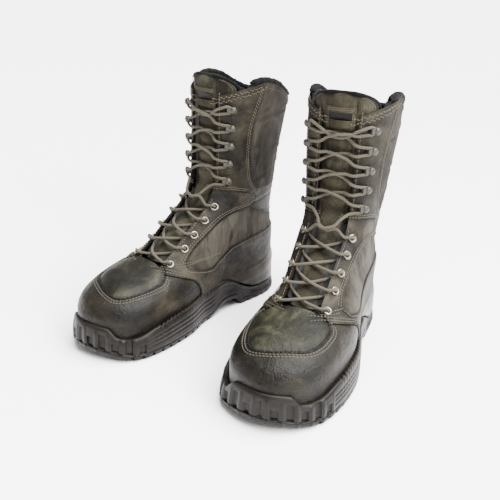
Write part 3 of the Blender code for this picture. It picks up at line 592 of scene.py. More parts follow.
class Kit:
    """The finishes that the boots are made in."""

    toe = Leather("toe_leather", (.010, .0085, .0070), (.026, .021, .0150), (.052, .045, .0290),
                  (.145, .122, .090), patch=26.0, balance=-0.02, rough=0.40)
    plug = Leather("plug_leather", (.016, .0150, .0105), (.038, .036, .023), (.086, .084, .054),
                   (.215, .210, .150), patch=34.0, rough=0.44)
    stay = Leather("stay_leather", (.018, .015, .0115), (.052, .044, .033), (.106, .092, .064),
                   (.235, .208, .156), patch=32.0, balance=0.01, rough=0.52)
    shaft_leather = Leather("shaft_leather", (.020, .0165, .0120), (.052, .043, .030), (.098, .085, .058),
                            (.190, .168, .124), patch=36.0, rough=0.55, streak=0.35)
    cloth = Textile("camouflage_cloth", (.045, .038, .030), (.185, .168, .138), (.420, .390, .335),
                    balance=0.03)
    shaft_cloth = Textile("shaft_cloth", (.026, .021, .017), (.120, .104, .084), (.300, .270, .226),
                          patch=20.0)
    # the tongue cloth's dark colour also paints the shadow over the tongue's recessed lower flanks
    tongue = Textile("tongue_cloth", (.062, .056, .042), (.170, .158, .118), (.340, .318, .240),
                     pitch=0.0020, smear=0.45)
    collar = Textile("collar_cloth", (.004, .0035, .0035), (.008, .0075, .0075), (.016, .015, .015),
                     pitch=0.0012, smear=0.2)
    gusset = Pile("gusset_cloth", (.006, .0050, .0040), (.016, .013, .010), 0.0003)
    lining = Pile("brushed_lining", (.016, .0145, .0135), (.040, .037, .034))
    footbed = Pile("footbed_cover", (.030, .028, .026), (.075, .070, .062), 0.0004)
    board = Pile("pressed_board", (.22, .17, .11), (.34, .28, .19), 0.0001, 300.0)
    sheet = Pile("stiffener_sheet", (.42, .39, .33), (.58, .55, .48), 0.0001, 300.0)
    sole = Moulded("sole_rubber", (.012, .0100, .0080), (.055, .045, .036), 0.45, (.008, .007, .0062))
    foam = Moulded("midsole_foam", (.040, .034, .028), (.075, .065, .052), 0.80)
    tread = Moulded("tread_rubber", (.011, .010, .009), (.032, .028, .024), 0.66)
    # clip_plastic's lift colour also paints the highlight on the heel cup's shoulder
    clip = Moulded("clip_plastic", (.052, .043, .034), (.190, .165, .135), 0.36)
    eyelet = Plated("pewter_plate", (.56, .53, .46), (.17, .155, .13), 0.27)
    hook = Plated("olive_enamel", (.150, .135, .100), (.085, .076, .056), 0.42, metal=0.3, shine=0.14)
    steel = Plated("spring_steel", (.60, .60, .60), (.42, .42, .42), 0.32)
    # for the lace and the threads, the dark colour is also the painted shade between the strands
    lace = Braid("lace_braid", (.235, .205, .140), (.060, .050, .032))
    thread = Braid("seam_thread", (.420, .370, .280), (.210, .180, .130), 2.0, 0.0016, 0.215)
    dark_thread = Braid("dark_thread", (.080, .068, .050), (.030, .025, .018), 2.0, 0.0016)
    # black_piping is also the black strip painted as the shadow in the keeper's slot
    piping = Leather("black_piping", (.0035, .003, .0028), (.006, .005, .0045), (.009, .008, .007),
                     (.016, .014, .012), rough=0.40)
    webbing = Textile("keeper_webbing", (.075, .066, .045), (.165, .150, .102), (.270, .248, .176),
                      pitch=0.0011, smear=0.2)


# ------------------------------------------------------------------ placing the pieces

class Hand(Enum):
    """A boot of the pair: its name, where it stands, how far it turns and its hand."""

    RIGHT = ("right", -0.0895, 0.0046, math.radians(-12.0), -1.0)
    LEFT = ("left", 0.0973, -0.0054, math.radians(6.0), 1.0)

    @property
    def word(self) -> str:
        """The boot's name."""
        return self.value[0]

    @property
    def matrix(self) -> Matrix:
        """From a boot's own frame to its place in the pair."""
        _, x, y, turn, mirror = self.value
        turned = Matrix.Translation((x, y, 0)) @ Matrix.Rotation(turn, 4, "Z")
        return turned @ Matrix.Diagonal((mirror, 1, 1, 1))


def keep(work: Work, name: str = "piece") -> Mesh:
    """Store a bmesh as a mesh and free it."""
    mesh = bpy.data.meshes.new(name)
    work.to_mesh(mesh)
    work.free()
    return mesh


def coordinates(mesh: Mesh) -> Array:
    """A mesh's vertices, one row each."""
    flat = np.empty(len(mesh.vertices) * 3, np.float32)
    mesh.vertices.foreach_get("co", flat)
    return flat.reshape(-1, 3).astype(float)


def mark(mesh: Mesh, name: str, values: Array) -> None:
    """Keep a value at every vertex of a mesh."""
    layer = mesh.attributes.get(name) or mesh.attributes.new(name, "FLOAT", "POINT")
    layer.data.foreach_set("value", np.asarray(values, np.float32))


def unworn(mesh: Mesh) -> Mesh:
    """Mark a piece as worn nowhere along its edges."""
    mark(mesh, "edge", np.zeros(len(mesh.vertices)))
    return mesh


def stand(mesh: Mesh, hand: Hand, piece: str, finish: Finish, body: Optional[str] = "boot",
          nodes: Sequence[str] = (), crease: float = 38.0) -> bpy.types.Object:
    """Stand one piece in its boot, dress it and let it ride.

    Args:
        mesh: the piece in the boot's own frame; it is copied.
        hand: the boot.
        piece: the piece's name without the boot's.
        finish: what it is made in.
        body: which of the boot's bodies it rides on, or None for cloth that crosses a joint.
        nodes: the nodes that it stands for, without the boot's name.
        crease: the angle in degrees above which an edge stays sharp.

    Returns:
        The placed object.
    """
    own = mesh.copy()
    own.transform(hand.matrix)
    if hand.matrix.determinant() < 0:
        own.flip_normals()
    own.shade_smooth()
    own.set_sharp_from_angle(angle=math.radians(crease))
    own.materials.clear()
    own.materials.append(finish.material())
    item = bpy.data.objects.new(f"{hand.word}_{piece}", own)
    bpy.context.scene.collection.objects.link(item)
    if body:
        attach(item, f"{hand.word}_{body}")
    if nodes:
        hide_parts(*[f"{hand.word}_{node}" for node in nodes])
    return item


def pair(mesh: Mesh, piece: str, finish: Finish, body: str = "boot",
         nodes: Sequence[str] = (), crease: float = 38.0) -> list[bpy.types.Object]:
    """Stand one piece in both boots; the arguments are those of stand()."""
    items = [stand(mesh, hand, piece, finish, body, nodes, crease) for hand in Hand]
    log.info("%s: %d faces in each boot", piece, len(mesh.polygons))
    return items


# ------------------------------------------------------------------ mesh tools

def wrapped(columns: int, rows: int, shape: Shape,
            work: Optional[Work] = None) -> Work:
    """A grid laid over a shape.

    Args:
        columns: how many faces across.
        rows: how many faces up.
        shape: gives the points for arrays of u and v from 0 to 1.
        work: a bmesh to add the grid to, or None for a new one.

    Returns:
        The bmesh, with the grid's share of u and v in its UV map.
    """
    work = work or bmesh.new()
    if not work.loops.layers.uv:
        work.loops.layers.uv.new("weave")
    grid = bmesh.ops.create_grid(work, x_segments=columns, y_segments=rows, size=0.5, calc_uvs=True)["verts"]
    flat = np.array([vert.co[:2] for vert in grid]) + 0.5
    for vert, point in zip(grid, shape(flat[:, 0], flat[:, 1])):
        vert.co = point
    return work


def weld(work: Work, reach: float = 0.000005) -> Work:
    """Merge the points that lie on each other."""
    bmesh.ops.remove_doubles(work, verts=work.verts, dist=reach)
    return work


def outwards(work: Work) -> Work:
    """Turn a closed shape's faces outwards."""
    bmesh.ops.recalc_face_normals(work, faces=work.faces)
    return work


def slab(columns: int, rows: int, faces: Sequence[Shape]) -> Work:
    """A closed layer between two grids.

    Args:
        columns: how many faces across.
        rows: how many faces up.
        faces: the shapes of its two faces.

    Returns:
        The layer's bmesh, its faces turned outwards.
    """
    work = bmesh.new()
    for shape in faces:
        wrapped(columns, rows, shape, work)
    bmesh.ops.bridge_loops(work, edges=[e for e in work.edges if e.is_boundary])
    return outwards(work)


def close_ends(work: Work) -> Work:
    """Close the open ends of a shape with flat faces."""
    rim = [edge for edge in work.edges if edge.is_boundary]
    bmesh.ops.holes_fill(work, edges=rim, sides=0)
    return outwards(work)


def stretch_uv(mesh: Mesh, width: float, height: float) -> None:
    """Bring a grid's UV map from shares to metres."""
    layer = mesh.uv_layers["weave"]
    flat = np.empty(len(mesh.loops) * 2, np.float32)
    layer.data.foreach_get("uv", flat)
    flat = (flat.reshape(-1, 2) * (width, height)).ravel()
    layer.data.foreach_set("uv", flat.astype(np.float32))


def sweep(points: Array, radius: object, sides: int = 10, flatten: float = 1.0,
          up: Optional[Array] = None) -> Mesh:
    """A round or flattened cord along a line.

    Args:
        points: the line's points, one row each.
        radius: its radius, or one radius for every point.
        sides: how many faces round it.
        flatten: its thickness as a share of its width.
        up: for every point, the direction in which it is flattened.

    Returns:
        The cord's mesh; its UV map holds metres along it and its share of a turn.
    """
    points = np.asarray(points, float)
    steps = len(points) - 1
    tangent = np.gradient(points, axis=0)
    tangent /= np.maximum(np.linalg.norm(tangent, axis=1, keepdims=True), 1e-12)
    over = np.zeros_like(points)
    carried = Vector(tangent[0]).orthogonal().normalized()
    for i, line in enumerate(tangent):
        line = Vector(line)
        guide = Vector(up[i]) if up is not None else carried
        carried = (guide - line * guide.dot(line)).normalized()
        over[i] = carried
    across = np.cross(over, tangent)
    radii = np.broadcast_to(np.asarray(radius, float), (len(points),))

    def shape(u: Array, v: Array) -> Array:
        """Points of the cord's skin."""
        i = np.rint(u * steps).astype(int)
        turn = v * TURN
        out = across[i] * np.cos(turn)[:, None] + over[i] * (np.sin(turn) * flatten)[:, None]
        return points[i] + out * radii[i][:, None]

    mesh = keep(close_ends(weld(wrapped(steps, sides, shape), 1e-7)))
    stretch_uv(mesh, float(np.linalg.norm(np.diff(points, axis=0), axis=1).sum()), 1.0)
    return mesh


def evenly(points: Array, pitch: float) -> Array:
    """The same line with its points a pitch apart."""
    points = np.asarray(points, float)
    run = np.concatenate([[0], np.cumsum(np.linalg.norm(np.diff(points, axis=0), axis=1))])
    at = np.linspace(0, run[-1], max(int(round(run[-1] / pitch)), 1) + 1)
    return np.stack([np.interp(at, run, points[:, k]) for k in range(3)], axis=1)


def smooth_route(points: Sequence[Sequence[float]], pitch: float) -> Array:
    """A smooth line through points in space, its points a pitch apart."""
    return evenly(np.array(flow([tuple(p) for p in points], 10)), pitch)


def prism(outline: Points, low: float, high: float, plan: bool = False) -> Mesh:
    """A prism over an outline in the side view, or in the plan.

    Args:
        outline: pairs of y and z, or of x and y in the plan.
        low: where it starts, across or in height.
        high: where it ends.
        plan: True for an outline in the plan.

    Returns:
        The prism's closed mesh.
    """
    work = bmesh.new()
    corners = [(a, b, low) if plan else (low, a, b) for a, b in outline]
    face = work.faces.new([work.verts.new(corner) for corner in corners])
    top = bmesh.ops.extrude_face_region(work, geom=[face])["geom"]
    rise = (0, 0, high - low) if plan else (high - low, 0, 0)
    bmesh.ops.translate(work, verts=[v for v in top if isinstance(v, bmesh.types.BMVert)], vec=rise)
    return keep(outwards(weld(work, 1e-6)))


def combine(mesh: Mesh, other: Mesh, operation: str) -> Mesh:
    """Cut or join two closed meshes."""
    items = [bpy.data.objects.new("part", each) for each in (mesh, other)]
    for item in items:
        bpy.context.scene.collection.objects.link(item)
    cut = items[0].modifiers.new("cut", "BOOLEAN")
    cut.operation, cut.solver, cut.object = operation, "MANIFOLD", items[1]
    graph = bpy.context.evaluated_depsgraph_get()
    result = bpy.data.meshes.new_from_object(items[0].evaluated_get(graph))
    for item in items:
        bpy.data.objects.remove(item)
    return result


def gather(meshes: Sequence[Mesh]) -> Mesh:
    """Several meshes as one."""
    work = bmesh.new()
    for mesh in meshes:
        work.from_mesh(mesh)
    return keep(work)


def shifted(outline: Points, distance: float) -> list[tuple[float, float]]:
    """Move an open line or an outline sideways, to its left as it runs."""
    pts = np.array(outline, float)
    along = np.gradient(pts, axis=0)
    along /= np.maximum(np.linalg.norm(along, axis=1, keepdims=True), 1e-12)
    return [tuple(p) for p in pts + np.stack([-along[:, 1], along[:, 0]], 1) * distance]


# ------------------------------------------------------------------ seams

@dataclass(frozen=True)
class Seams:
    """The upper's seams in the side view, as pairs of y and z."""

    mudguard: Points = ((-.085, .0785), (-.067, .0800), (-.047, .0740), (-.030, .0660), (-.017, .0520),
                        (-.012, .0350))
    eyestay: Points = ((-.034, .0835), (-.017, .0975), (-.002, .1075), (.023, .1235), (.044, .1312),
                       (.060, .1328), (.072, .1335))
    tab_end: Points = ((.072, .1335), (.0805, .1375), (.0835, .1440), (.0780, .1500), (.0665, .1530))
    hook_foot: Points = ((.0665, .1530), (.0490, .1575), (.0240, .1605), (0, .1620))
    side_foot: Points = ((-.034, .0835), (-.0325, .0790), (-.025, .0760), (-.010, .0710), (.008, .0680),
                         (.018, .0730), (.029, .0790), (.045, .0870), (.067, .0905), (.100, .0930),
                         (.200, .0970))
    ankle: Points = ((.072, .1335), (.101, .1215), (.117, .1145), (.200, .1085))
    hook_back: Points = ((.0855, .1540), (.0740, .1690), (.0690, .1890), (.0670, .2080), (.0680, .2330),
                         (.0740, .2560), (.0820, .2790), (.0840, .3200))
    plug: Points = ((.0205, -.0550), (.0375, -.0690), (.0385, -.0850), (.0340, -.1020), (.0260, -.1130),
                    (.0120, -.1205), (-.0050, -.1265), (-.0220, -.1270), (-.0310, -.1190), (-.0370, -.1040),
                    (-.0405, -.0850), (-.0390, -.0690), (-.0205, -.0550))
    hook_top: Points = ((-.0200, .2540), (.0100, .2600), (.0210, .2665), (.0310, .2720), (.0460, .2785),
                        (.0630, .2830), (.0840, .2890))
    vamp_edge: tuple[float, float] = (-0.0560, 0.0780)
    gap: float = 0.00012

    def line(self, name: str) -> list[tuple[float, float]]:
        """One seam as a smooth line."""
        return flow(getattr(self, name), 5)

    def shrunk(self, outline: Points, distance: float) -> list[tuple[float, float]]:
        """A closed outline moved inwards by a distance, or outwards where it is negative."""
        pts = np.array(outline, float)
        pts = pts[np.linalg.norm(pts - np.roll(pts, 1, 0), axis=1) > 1e-7]
        area = float(np.sum(pts[:, 0] * np.roll(pts[:, 1], -1) - pts[:, 1] * np.roll(pts[:, 0], -1)))
        along = np.roll(pts, -1, 0) - np.roll(pts, 1, 0)
        along /= np.maximum(np.linalg.norm(along, axis=1, keepdims=True), 1e-12)
        inward = np.stack([-along[:, 1], along[:, 0]], 1) * math.copysign(1.0, area)
        return [tuple(p) for p in pts + inward * distance]


@dataclass(frozen=True)
class Stitching:
    """Rows of lock stitches laid on the upper's face."""

    last: Last
    pitch: float = 3.6 * MM
    length: float = 2.9 * MM
    radius: float = 0.55 * MM

    def row(self, work: Work, points: Array, normals: Array) -> None:
        """Sew one row.

        Args:
            work: the bmesh that takes the stitches.
            points: the line on the surface, one row each.
            normals: the surface's outward direction along the line.
        """
        run = np.concatenate([[0], np.cumsum(np.linalg.norm(np.diff(points, axis=0), axis=1))])
        sewn = bmesh.new()
        for at in np.arange(self.pitch / 2, run[-1], self.pitch):
            place, ahead, behind = (Vector([np.interp(at + step, run, points[:, k]) for k in range(3)])
                                    for step in (0.0, MM, -MM))
            out = Vector([np.interp(at, run, normals[:, k]) for k in range(3)]).normalized()
            line = (ahead - behind).normalized()
            if line.length < 0.5:
                continue
            over = out.cross(line).normalized()
            axes = Matrix((over, line, line.cross(over) * -1)).transposed().to_4x4()
            size = Matrix.Diagonal((self.radius, self.length / 2, self.radius, 1))
            bmesh.ops.create_uvsphere(sewn, u_segments=6, v_segments=4, radius=1,
                                      matrix=Matrix.Translation(place) @ axes @ size)
        work.from_mesh(keep(outwards(sewn)))

    def on_side(self, work: Work, line: Points, side: float, shift: float, lift: float,
                wave: float = 0.0) -> None:
        """Sew along a side-view line.

        Args:
            work: the bmesh that takes the stitches.
            line: pairs of y and z.
            side: +1 for the outer side of the boot, -1 for the inner.
            shift: how far to the left of the line.
            lift: how far out from the upper's face.
            wave: the swing of a zigzag, 0 for a straight row.
        """
        pts = np.array(shifted(line, shift)) if shift else np.array(line, float)
        pts = evenly(np.column_stack([pts, np.zeros(len(pts))]), MM)[:, :2]
        if wave:
            swing = wave * np.where(np.arange(len(pts)) // 2 % 2 == 0, 1, -1)
            pts = np.array(shifted(pts, 0)) + np.column_stack([np.zeros(len(pts)), swing])
        inside = (pts[:, 0] > self.last.front(pts[:, 1]) + MM) & (pts[:, 0] < self.last.back(pts[:, 1]) - MM)
        inside &= pts[:, 1] < self.last.topline(pts[:, 0]) - 4 * MM
        pts = pts[inside]
        if len(pts) < 4:
            return
        angle = self.last.angle_of(pts[:, 0], pts[:, 1], side)
        self.row(work, self.last.skin(angle, pts[:, 1], -lift), self.last.normal(angle, pts[:, 1]))

    def on_plan(self, work: Work, line: Points, lift: float) -> None:
        """Sew along a line of the plan, on the toe."""
        pts = evenly(np.column_stack([np.array(line), np.zeros(len(line))]), MM)
        angle, z = self.last.plan_angle(pts[:, 0], pts[:, 1])
        self.row(work, self.last.skin(angle, z, -lift), self.last.normal(angle, z))

    def on_stay(self, work: Work, line: Points, side: float, lift: float) -> None:
        """Sew along a line given across and by height, on the front of the boot."""
        pts = evenly(np.column_stack([np.array(line), np.zeros(len(line))]), MM)
        angle = self.last.angle_across(pts[:, 0] * side, pts[:, 1])
        self.row(work, self.last.skin(angle, pts[:, 1], -lift), self.last.normal(angle, pts[:, 1]))


# ------------------------------------------------------------------ upper

@dataclass
class Upper:
    """The leather and textile panels, cut along their seams and stitched."""

    last: Last
    seams: Seams
    columns: int = 216
    arc_step: float = 0.0024
    thickness: float = 1.7 * MM
    throat: float = 20.5 * MM
    eyelet_x: float = 27.6 * MM
    eyelet_levels: tuple[float, ...] = (0.0860, 0.0995, 0.1132, 0.1270, 0.1410)
    eyelet_hole: float = 3.1 * MM
    wide: float = 0.1

    def shell(self, outer: float, inner: float, low: Callable[[Array], Array],
              high: Callable[[Array], Array], columns: int = 0) -> Mesh:
        """A closed wall round the boot between two depths.

        Args:
            outer: the depth of its outer face.
            inner: the depth of its inner face.
            low: the height of its foot for each angle.
            high: the height of its top for each angle.
            columns: how many faces round it, or 0 for the upper's own number.

        Returns:
            The wall's mesh.
        """
        heights = np.linspace(0.012, 0.300, 400)
        arc = np.concatenate([[0], np.cumsum(np.hypot(np.diff(heights), np.diff(self.last.front(heights))))])
        floor, top = float(low(np.array([0.0]))[0]), float(high(np.array([0.0]))[0])
        start, end = np.interp([floor, top], heights, arc)
        rows = max(int(round((end - start) / self.arc_step)), 4)
        work = None
        for depth in (outer, inner):
            def shape(u: Array, v: Array, depth: float = depth) -> Array:
                """Points of one face of the wall."""
                angle = u * TURN
                share = (np.interp(start + (end - start) * v, arc, heights) - floor) / (top - floor)
                return self.last.skin(angle, low(angle) + (high(angle) - low(angle)) * share, depth)
            work = wrapped(columns or self.columns, rows, shape, work)
        weld(work)
        middle = (floor + top) / 2
        for upper in (True, False):
            rim = [e for e in work.edges if e.is_boundary and (e.verts[0].co.z > middle) == upper]
            bmesh.ops.bridge_loops(work, edges=rim)
        return keep(outwards(work))

    def blank(self) -> Mesh:
        """The whole outer wall of the upper, its throat open."""
        wall = self.shell(0.0, self.thickness, lambda a: self.last.seat(a) + 0.5 * MM, self.last.top)
        return combine(wall, self.throat_block(self.throat, self.seams.vamp_edge), "DIFFERENCE")

    def throat_block(self, half: float, lower: tuple[float, float]) -> Mesh:
        """A block that opens the upper's front from the vamp edge upwards."""
        y, z = lower
        front = [(y, z), (y - 0.03, z + 0.05), (-0.02, 0.33), (0.075, 0.33)]
        return prism(front + [(0.075, 0.17), (0.055, 0.145), (y + 0.045, z + 0.01)], -half, half)

    def panel(self, blank: Mesh, outline: Points, side: float = 0.0) -> Mesh:
        """Cut one panel out of the blank, over both sides of the boot or over one."""
        low = 0.1 * MM if side > 0 else -self.wide
        high = -0.1 * MM if side < 0 else self.wide
        cutter = prism(self.seams.shrunk(outline, self.seams.gap), low, high)
        return combine(blank.copy(), cutter, "INTERSECT")

    def dress(self, mesh: Mesh, rise: float, drop: float, roll: float = 2.6 * MM,
              crown: float = 0.0, crown_reach: float = 9 * MM, ripple: float = 0.22 * MM,
              creases: Sequence[Colour] = ()) -> Mesh:
        """Give a cut panel its thickness, its turned edges and its unevenness.

        Args:
            mesh: the panel as cut; it is changed.
            rise: how far its face stands above the upper's plain face.
            drop: how far its edge turns down.
            roll: how wide the turned edge is.
            crown: how far its middle swells.
            crown_reach: how far in from the edge the swelling is full.
            ripple: the depth of its slow unevenness.
            creases: the height, slope and depth of the folds across it.

        Returns:
            The same mesh, with its edge marked and its UV map laid.
        """
        points = coordinates(mesh)
        side = np.where(points[:, 0] >= 0, 1.0, -1.0)
        angle = self.last.angle_of(points[:, 1], points[:, 2], side)
        normal = self.last.normal(angle, points[:, 2])
        depth = np.einsum("ij,ij->i", self.last.face(angle, points[:, 2]) - points, normal)
        face = depth < self.thickness * 0.45
        ends = np.array([edge.vertices[:] for edge in mesh.edges])
        across = face[ends[:, 0]] != face[ends[:, 1]]
        rim = np.unique(ends[across][face[ends[across]]])
        tree = KDTree(max(len(rim), 1))
        for i in rim:
            tree.insert(points[i], int(i))
        tree.balance()
        distance = np.full(len(points), 1.0)
        for i in np.flatnonzero(face):
            distance[i] = tree.find(points[i])[2] if len(rim) else 1.0
        lift = rise - drop * (1 - np.clip(distance / roll, 0, 1)) ** 2 + crown * ease(distance / crown_reach)
        for level, slope, deep in creases:
            fold = points[:, 2] - level - slope * (points[:, 1] - 0.11)
            swing = bump(fold, 0.0, 3.2 * MM) - 0.6 * bump(fold, 4.5 * MM, 6 * MM)
            lift -= deep * swing * (points[:, 1] > 0.03)
        for i in np.flatnonzero(face):
            lift[i] += ripple * noise.noise(Vector(points[i]) * 38.0) + ripple * 0.5 * noise.noise(
                Vector(points[i]) * 95.0)
        moved = points + normal * np.where(face, lift, 0.0)[:, None]
        mesh.vertices.foreach_set("co", moved.astype(np.float32).ravel())
        mark(mesh, "edge", np.where(face, np.clip(1 - distance / (3.5 * MM), 0, 1), 1.0))
        self.lay_weave(mesh, moved)
        return mesh

    def lay_weave(self, mesh: Mesh, points: Array) -> None:
        """Lay a UV map in metres that follows the surface round and up."""
        side = np.where(points[:, 0] >= 0, 1.0, -1.0)
        angle = self.last.angle_of(points[:, 1], points[:, 2], side)
        layer = mesh.uv_layers.get("weave") or mesh.uv_layers.new(name="weave")
        index = np.empty(len(mesh.loops), np.int32)
        mesh.loops.foreach_get("vertex_index", index)
        flat = np.stack([angle * 0.056, points[:, 2]], 1)[index]
        layer.data.foreach_set("uv", flat.astype(np.float32).ravel())

    def plug_prism(self, grow: float) -> Mesh:
        """The column over the toe plug, grown by a distance."""
        closed = [*self.seams.plug, self.seams.plug[0]]
        return prism(self.seams.shrunk(flow(closed, 5)[:-1], -grow), 0.045, 0.11, plan=True)

    def holes(self, side: float) -> Mesh:
        """The punched holes of one eyelet row, as plugs to cut with."""
        work = bmesh.new()
        for level in self.eyelet_levels:
            bmesh.ops.create_cone(work, cap_ends=True, segments=16, radius1=self.eyelet_hole,
                                  radius2=self.eyelet_hole, depth=14 * MM,
                                  matrix=self.last.axes(side * self.eyelet_x, level))
        return keep(outwards(work))

    def build(self) -> None:
        """Cut, shape and place every panel."""
        blank = self.blank()
        self.toe(blank)
        self.back(blank)
        for word, side in SIDES:
            self.flank(blank, word, side)

    def toe(self, blank: Mesh) -> None:
        """The mudguard round the toe and the plug inside its seam."""
        slit = self.seams.gap + 0.4 * MM
        outline = [(-.20, 0), (-.20, .0785), *self.seams.line("mudguard"), (-.012, 0)]
        guard = combine(self.panel(blank, outline), self.plug_prism(slit), "DIFFERENCE")
        guard = self.dress(guard, 0.1 * MM, 0.9 * MM, 3.2 * MM)
        pair(guard, "toe_guard", Kit.toe, nodes=["mudguard"])
        plug = combine(blank.copy(), self.plug_prism(-slit), "INTERSECT")
        plug = self.dress(plug, 0.2 * MM, 1.2 * MM, 3.0 * MM, 1.5 * MM, 11 * MM)
        pair(plug, "toe_plug", Kit.plug, nodes=["vamp_plug"])

    def back(self, blank: Mesh) -> None:
        """The ankle band and the shaft's rear panel, with the folds of a worn ankle."""
        line = self.seams.line
        band = self.panel(blank, [*line("ankle"), (.2, .1540), (.0855, .1540), *line("tab_end")[::-1]])
        band = self.dress(band, 0.2 * MM, 0.6 * MM, creases=((.1400, 0.1, 0.9 * MM),))
        pair(band, "ankle_wrap", Kit.stay, nodes=["ankle_band"])
        folds = ((.2480, 0.16, 1.3 * MM), (.2040, -0.20, 0.8 * MM), (.1760, 0.25, 0.9 * MM))
        rear = self.panel(blank, [*line("hook_back"), (.2, .32), (.2, .1540)])
        rear = self.dress(rear, 0.2 * MM, 0.5 * MM, crown=0.8 * MM, crown_reach=30 * MM, ripple=0.5 * MM,
                          creases=folds)
        pair(rear, "shaft_back", Kit.shaft_cloth, nodes=["rear_shaft_panel"])

    def flank(self, blank: Mesh, word: str, side: float) -> None:
        """One side's eyestay, its cloth panel and its hook stay."""
        line = self.seams.line
        outline = [(-.012, 0), *line("mudguard")[::-1], (-.085, .12), (0, .1620), *line("hook_foot")[-2::-1]]
        outline += [*line("tab_end")[-2::-1], *line("eyestay")[-2::-1], *line("side_foot")[1:], (.2, 0)]
        plug = self.plug_prism(self.seams.gap + 0.4 * MM)
        quarter = combine(self.panel(blank, outline, side), plug, "DIFFERENCE")
        quarter = self.dress(combine(quarter, self.holes(side), "DIFFERENCE"), 1.1 * MM, 0.9 * MM)
        pair(quarter, f"{word}_eyestay", Kit.stay, nodes=[f"{word}_quarter"])
        outline = [*line("eyestay"), *line("ankle")[1:], *line("side_foot")[::-1]]
        cloth = self.dress(self.panel(blank, outline, side), -0.3 * MM, 0.2 * MM, crown=1.0 * MM,
                           crown_reach=14 * MM, ripple=0.35 * MM)
        pair(cloth, f"{word}_side_cloth", Kit.cloth, nodes=[f"{word}_side_panel"])
        hooks = self.panel(blank, [*line("hook_foot")[::-1], *line("hook_back"), (0, .32)], side)
        above = prism([*line("hook_top"), (.0840, .33), (-.02, .33)], -self.wide, self.wide)
        hooks = self.dress(combine(hooks, above, "DIFFERENCE"), 0.9 * MM, 0.9 * MM)
        pair(hooks, f"{word}_hook_stay", Kit.shaft_leather, nodes=[f"{word}_hook_panel"])


@dataclass
class SeamWork:
    """The visible stitching, the toe's rolled seam and the pipings."""

    upper: Upper

    def build(self) -> None:
        """Sew every seam and lay the pipings."""
        self.moc_seam()
        self.stitches()
        self.pipings()

    def moc_seam(self) -> None:
        """The dark rolled seam between the toe plug and the guard, puckered along its length."""
        last = self.upper.last
        closed = [*self.upper.seams.plug, self.upper.seams.plug[0]]
        plan = np.array(flow(closed, 8)[:-1])
        front = plan[plan[:, 1] < -0.064]
        order = np.argsort(np.arctan2(front[:, 0], -(front[:, 1] + 0.085)))
        line = evenly(np.column_stack([front[order], np.zeros(len(front))]), 0.8 * MM)
        angle, z = last.plan_angle(line[:, 0], line[:, 1])
        normal = last.normal(angle, z)
        pucker = 1.35 * MM + 0.22 * MM * np.sin(np.arange(len(line)) * 0.8 * MM * TURN / (4.4 * MM))
        mesh = unworn(sweep(last.face(angle, z) - normal * 0.9 * MM, pucker, 10))
        pair(mesh, "moc_roll", Kit.piping)

    def stitches(self) -> None:
        """Every row of stitches."""
        upper, seams = self.upper, self.upper.seams
        sewing = Stitching(upper.last)
        light, dark = bmesh.new(), bmesh.new()
        for work in (light, dark):
            work.loops.layers.uv.new("weave")
        closed = [*seams.plug, seams.plug[0]]
        ring = seams.shrunk(flow(closed, 6)[:-1], -3.0 * MM)
        wide = seams.shrunk(flow(closed, 6)[:-1], -5.6 * MM)
        for loop in (ring, wide):
            loop = [p for p in loop if p[1] < -0.060]
            loop.sort(key=lambda p: math.atan2(p[0], -(p[1] + 0.085)))
            sewing.on_plan(light, loop, 0.35 * MM)
        for side in (1.0, -1.0):
            guard = seams.line("mudguard")[3:]
            for shift in (2.2 * MM, 4.4 * MM):
                sewing.on_side(light, guard, side, shift, 1.3 * MM)
            for shift in (2.4 * MM, 4.8 * MM):
                sewing.on_side(light, seams.line("eyestay"), side, shift, 1.3 * MM)
                sewing.on_side(light, seams.line("tab_end"), side, shift, 1.3 * MM)
                sewing.on_side(light, seams.line("hook_back"), side, shift, 1.1 * MM)
                sewing.on_side(light, seams.line("hook_foot")[::-1], side, shift, 1.1 * MM)
            sewing.on_side(light, seams.line("side_foot")[:-1], side, -2.4 * MM, 1.3 * MM)
            sewing.on_side(dark, seams.line("ankle"), side, 2.4 * MM, 0.5 * MM)
            sewing.on_side(dark, seams.line("hook_back"), side, -2.2 * MM, 0.6 * MM)
            top = [(y, z) for y, z in seams.line("hook_top") if y > 0.026]
            for shift in (-3.0 * MM, -7.4 * MM):
                sewing.on_side(light, top, side, shift, 1.3 * MM, wave=0.8 * MM)
            back = [(y, float(upper.last.topline(y)) - 7.0 * MM) for y in np.linspace(.088, .160, 24)]
            sewing.on_side(dark, back, side, 0.0, 0.6 * MM)
            edge = upper.throat + 2.2 * MM
            sewing.on_stay(light, [(edge, z) for z in np.linspace(.0855, .150, 20)], side, 1.3 * MM)
            sewing.on_stay(light, [(edge, z) for z in np.linspace(.166, .278, 30)], side, 1.1 * MM)
            for k in range(2):
                tack = [(edge + t, .0862 - 0.0016 * k - 0.12 * t) for t in np.linspace(0, 17 * MM, 12)]
                sewing.on_stay(light, tack, side, 1.3 * MM)
        pair(keep(light), "pale_stitching", Kit.thread)
        pair(keep(dark), "dark_stitching", Kit.dark_thread)

    def pipings(self) -> None:
        """The black pipings behind the eyestay and behind the hook stays."""
        last, seams = self.upper.last, self.upper.seams
        rows = (("eyestay", "eyestay_piping", 1.15 * MM), ("hook_back", "shaft_piping", 1.0 * MM))
        for word, side in SIDES:
            for name, label, radius in rows:
                pts = np.array([p for p in seams.line(name) if p[1] < 0.279])
                pts = evenly(np.column_stack([pts, np.zeros(len(pts))]), 1.5 * MM)[:, :2]
                angle = last.angle_of(pts[:, 0], pts[:, 1], side)
                mesh = unworn(sweep(last.skin(angle, pts[:, 1], 0.2 * MM), radius, 8))
                pair(mesh, f"{word}_{label}", Kit.piping)


# ------------------------------------------------------------------ sole unit

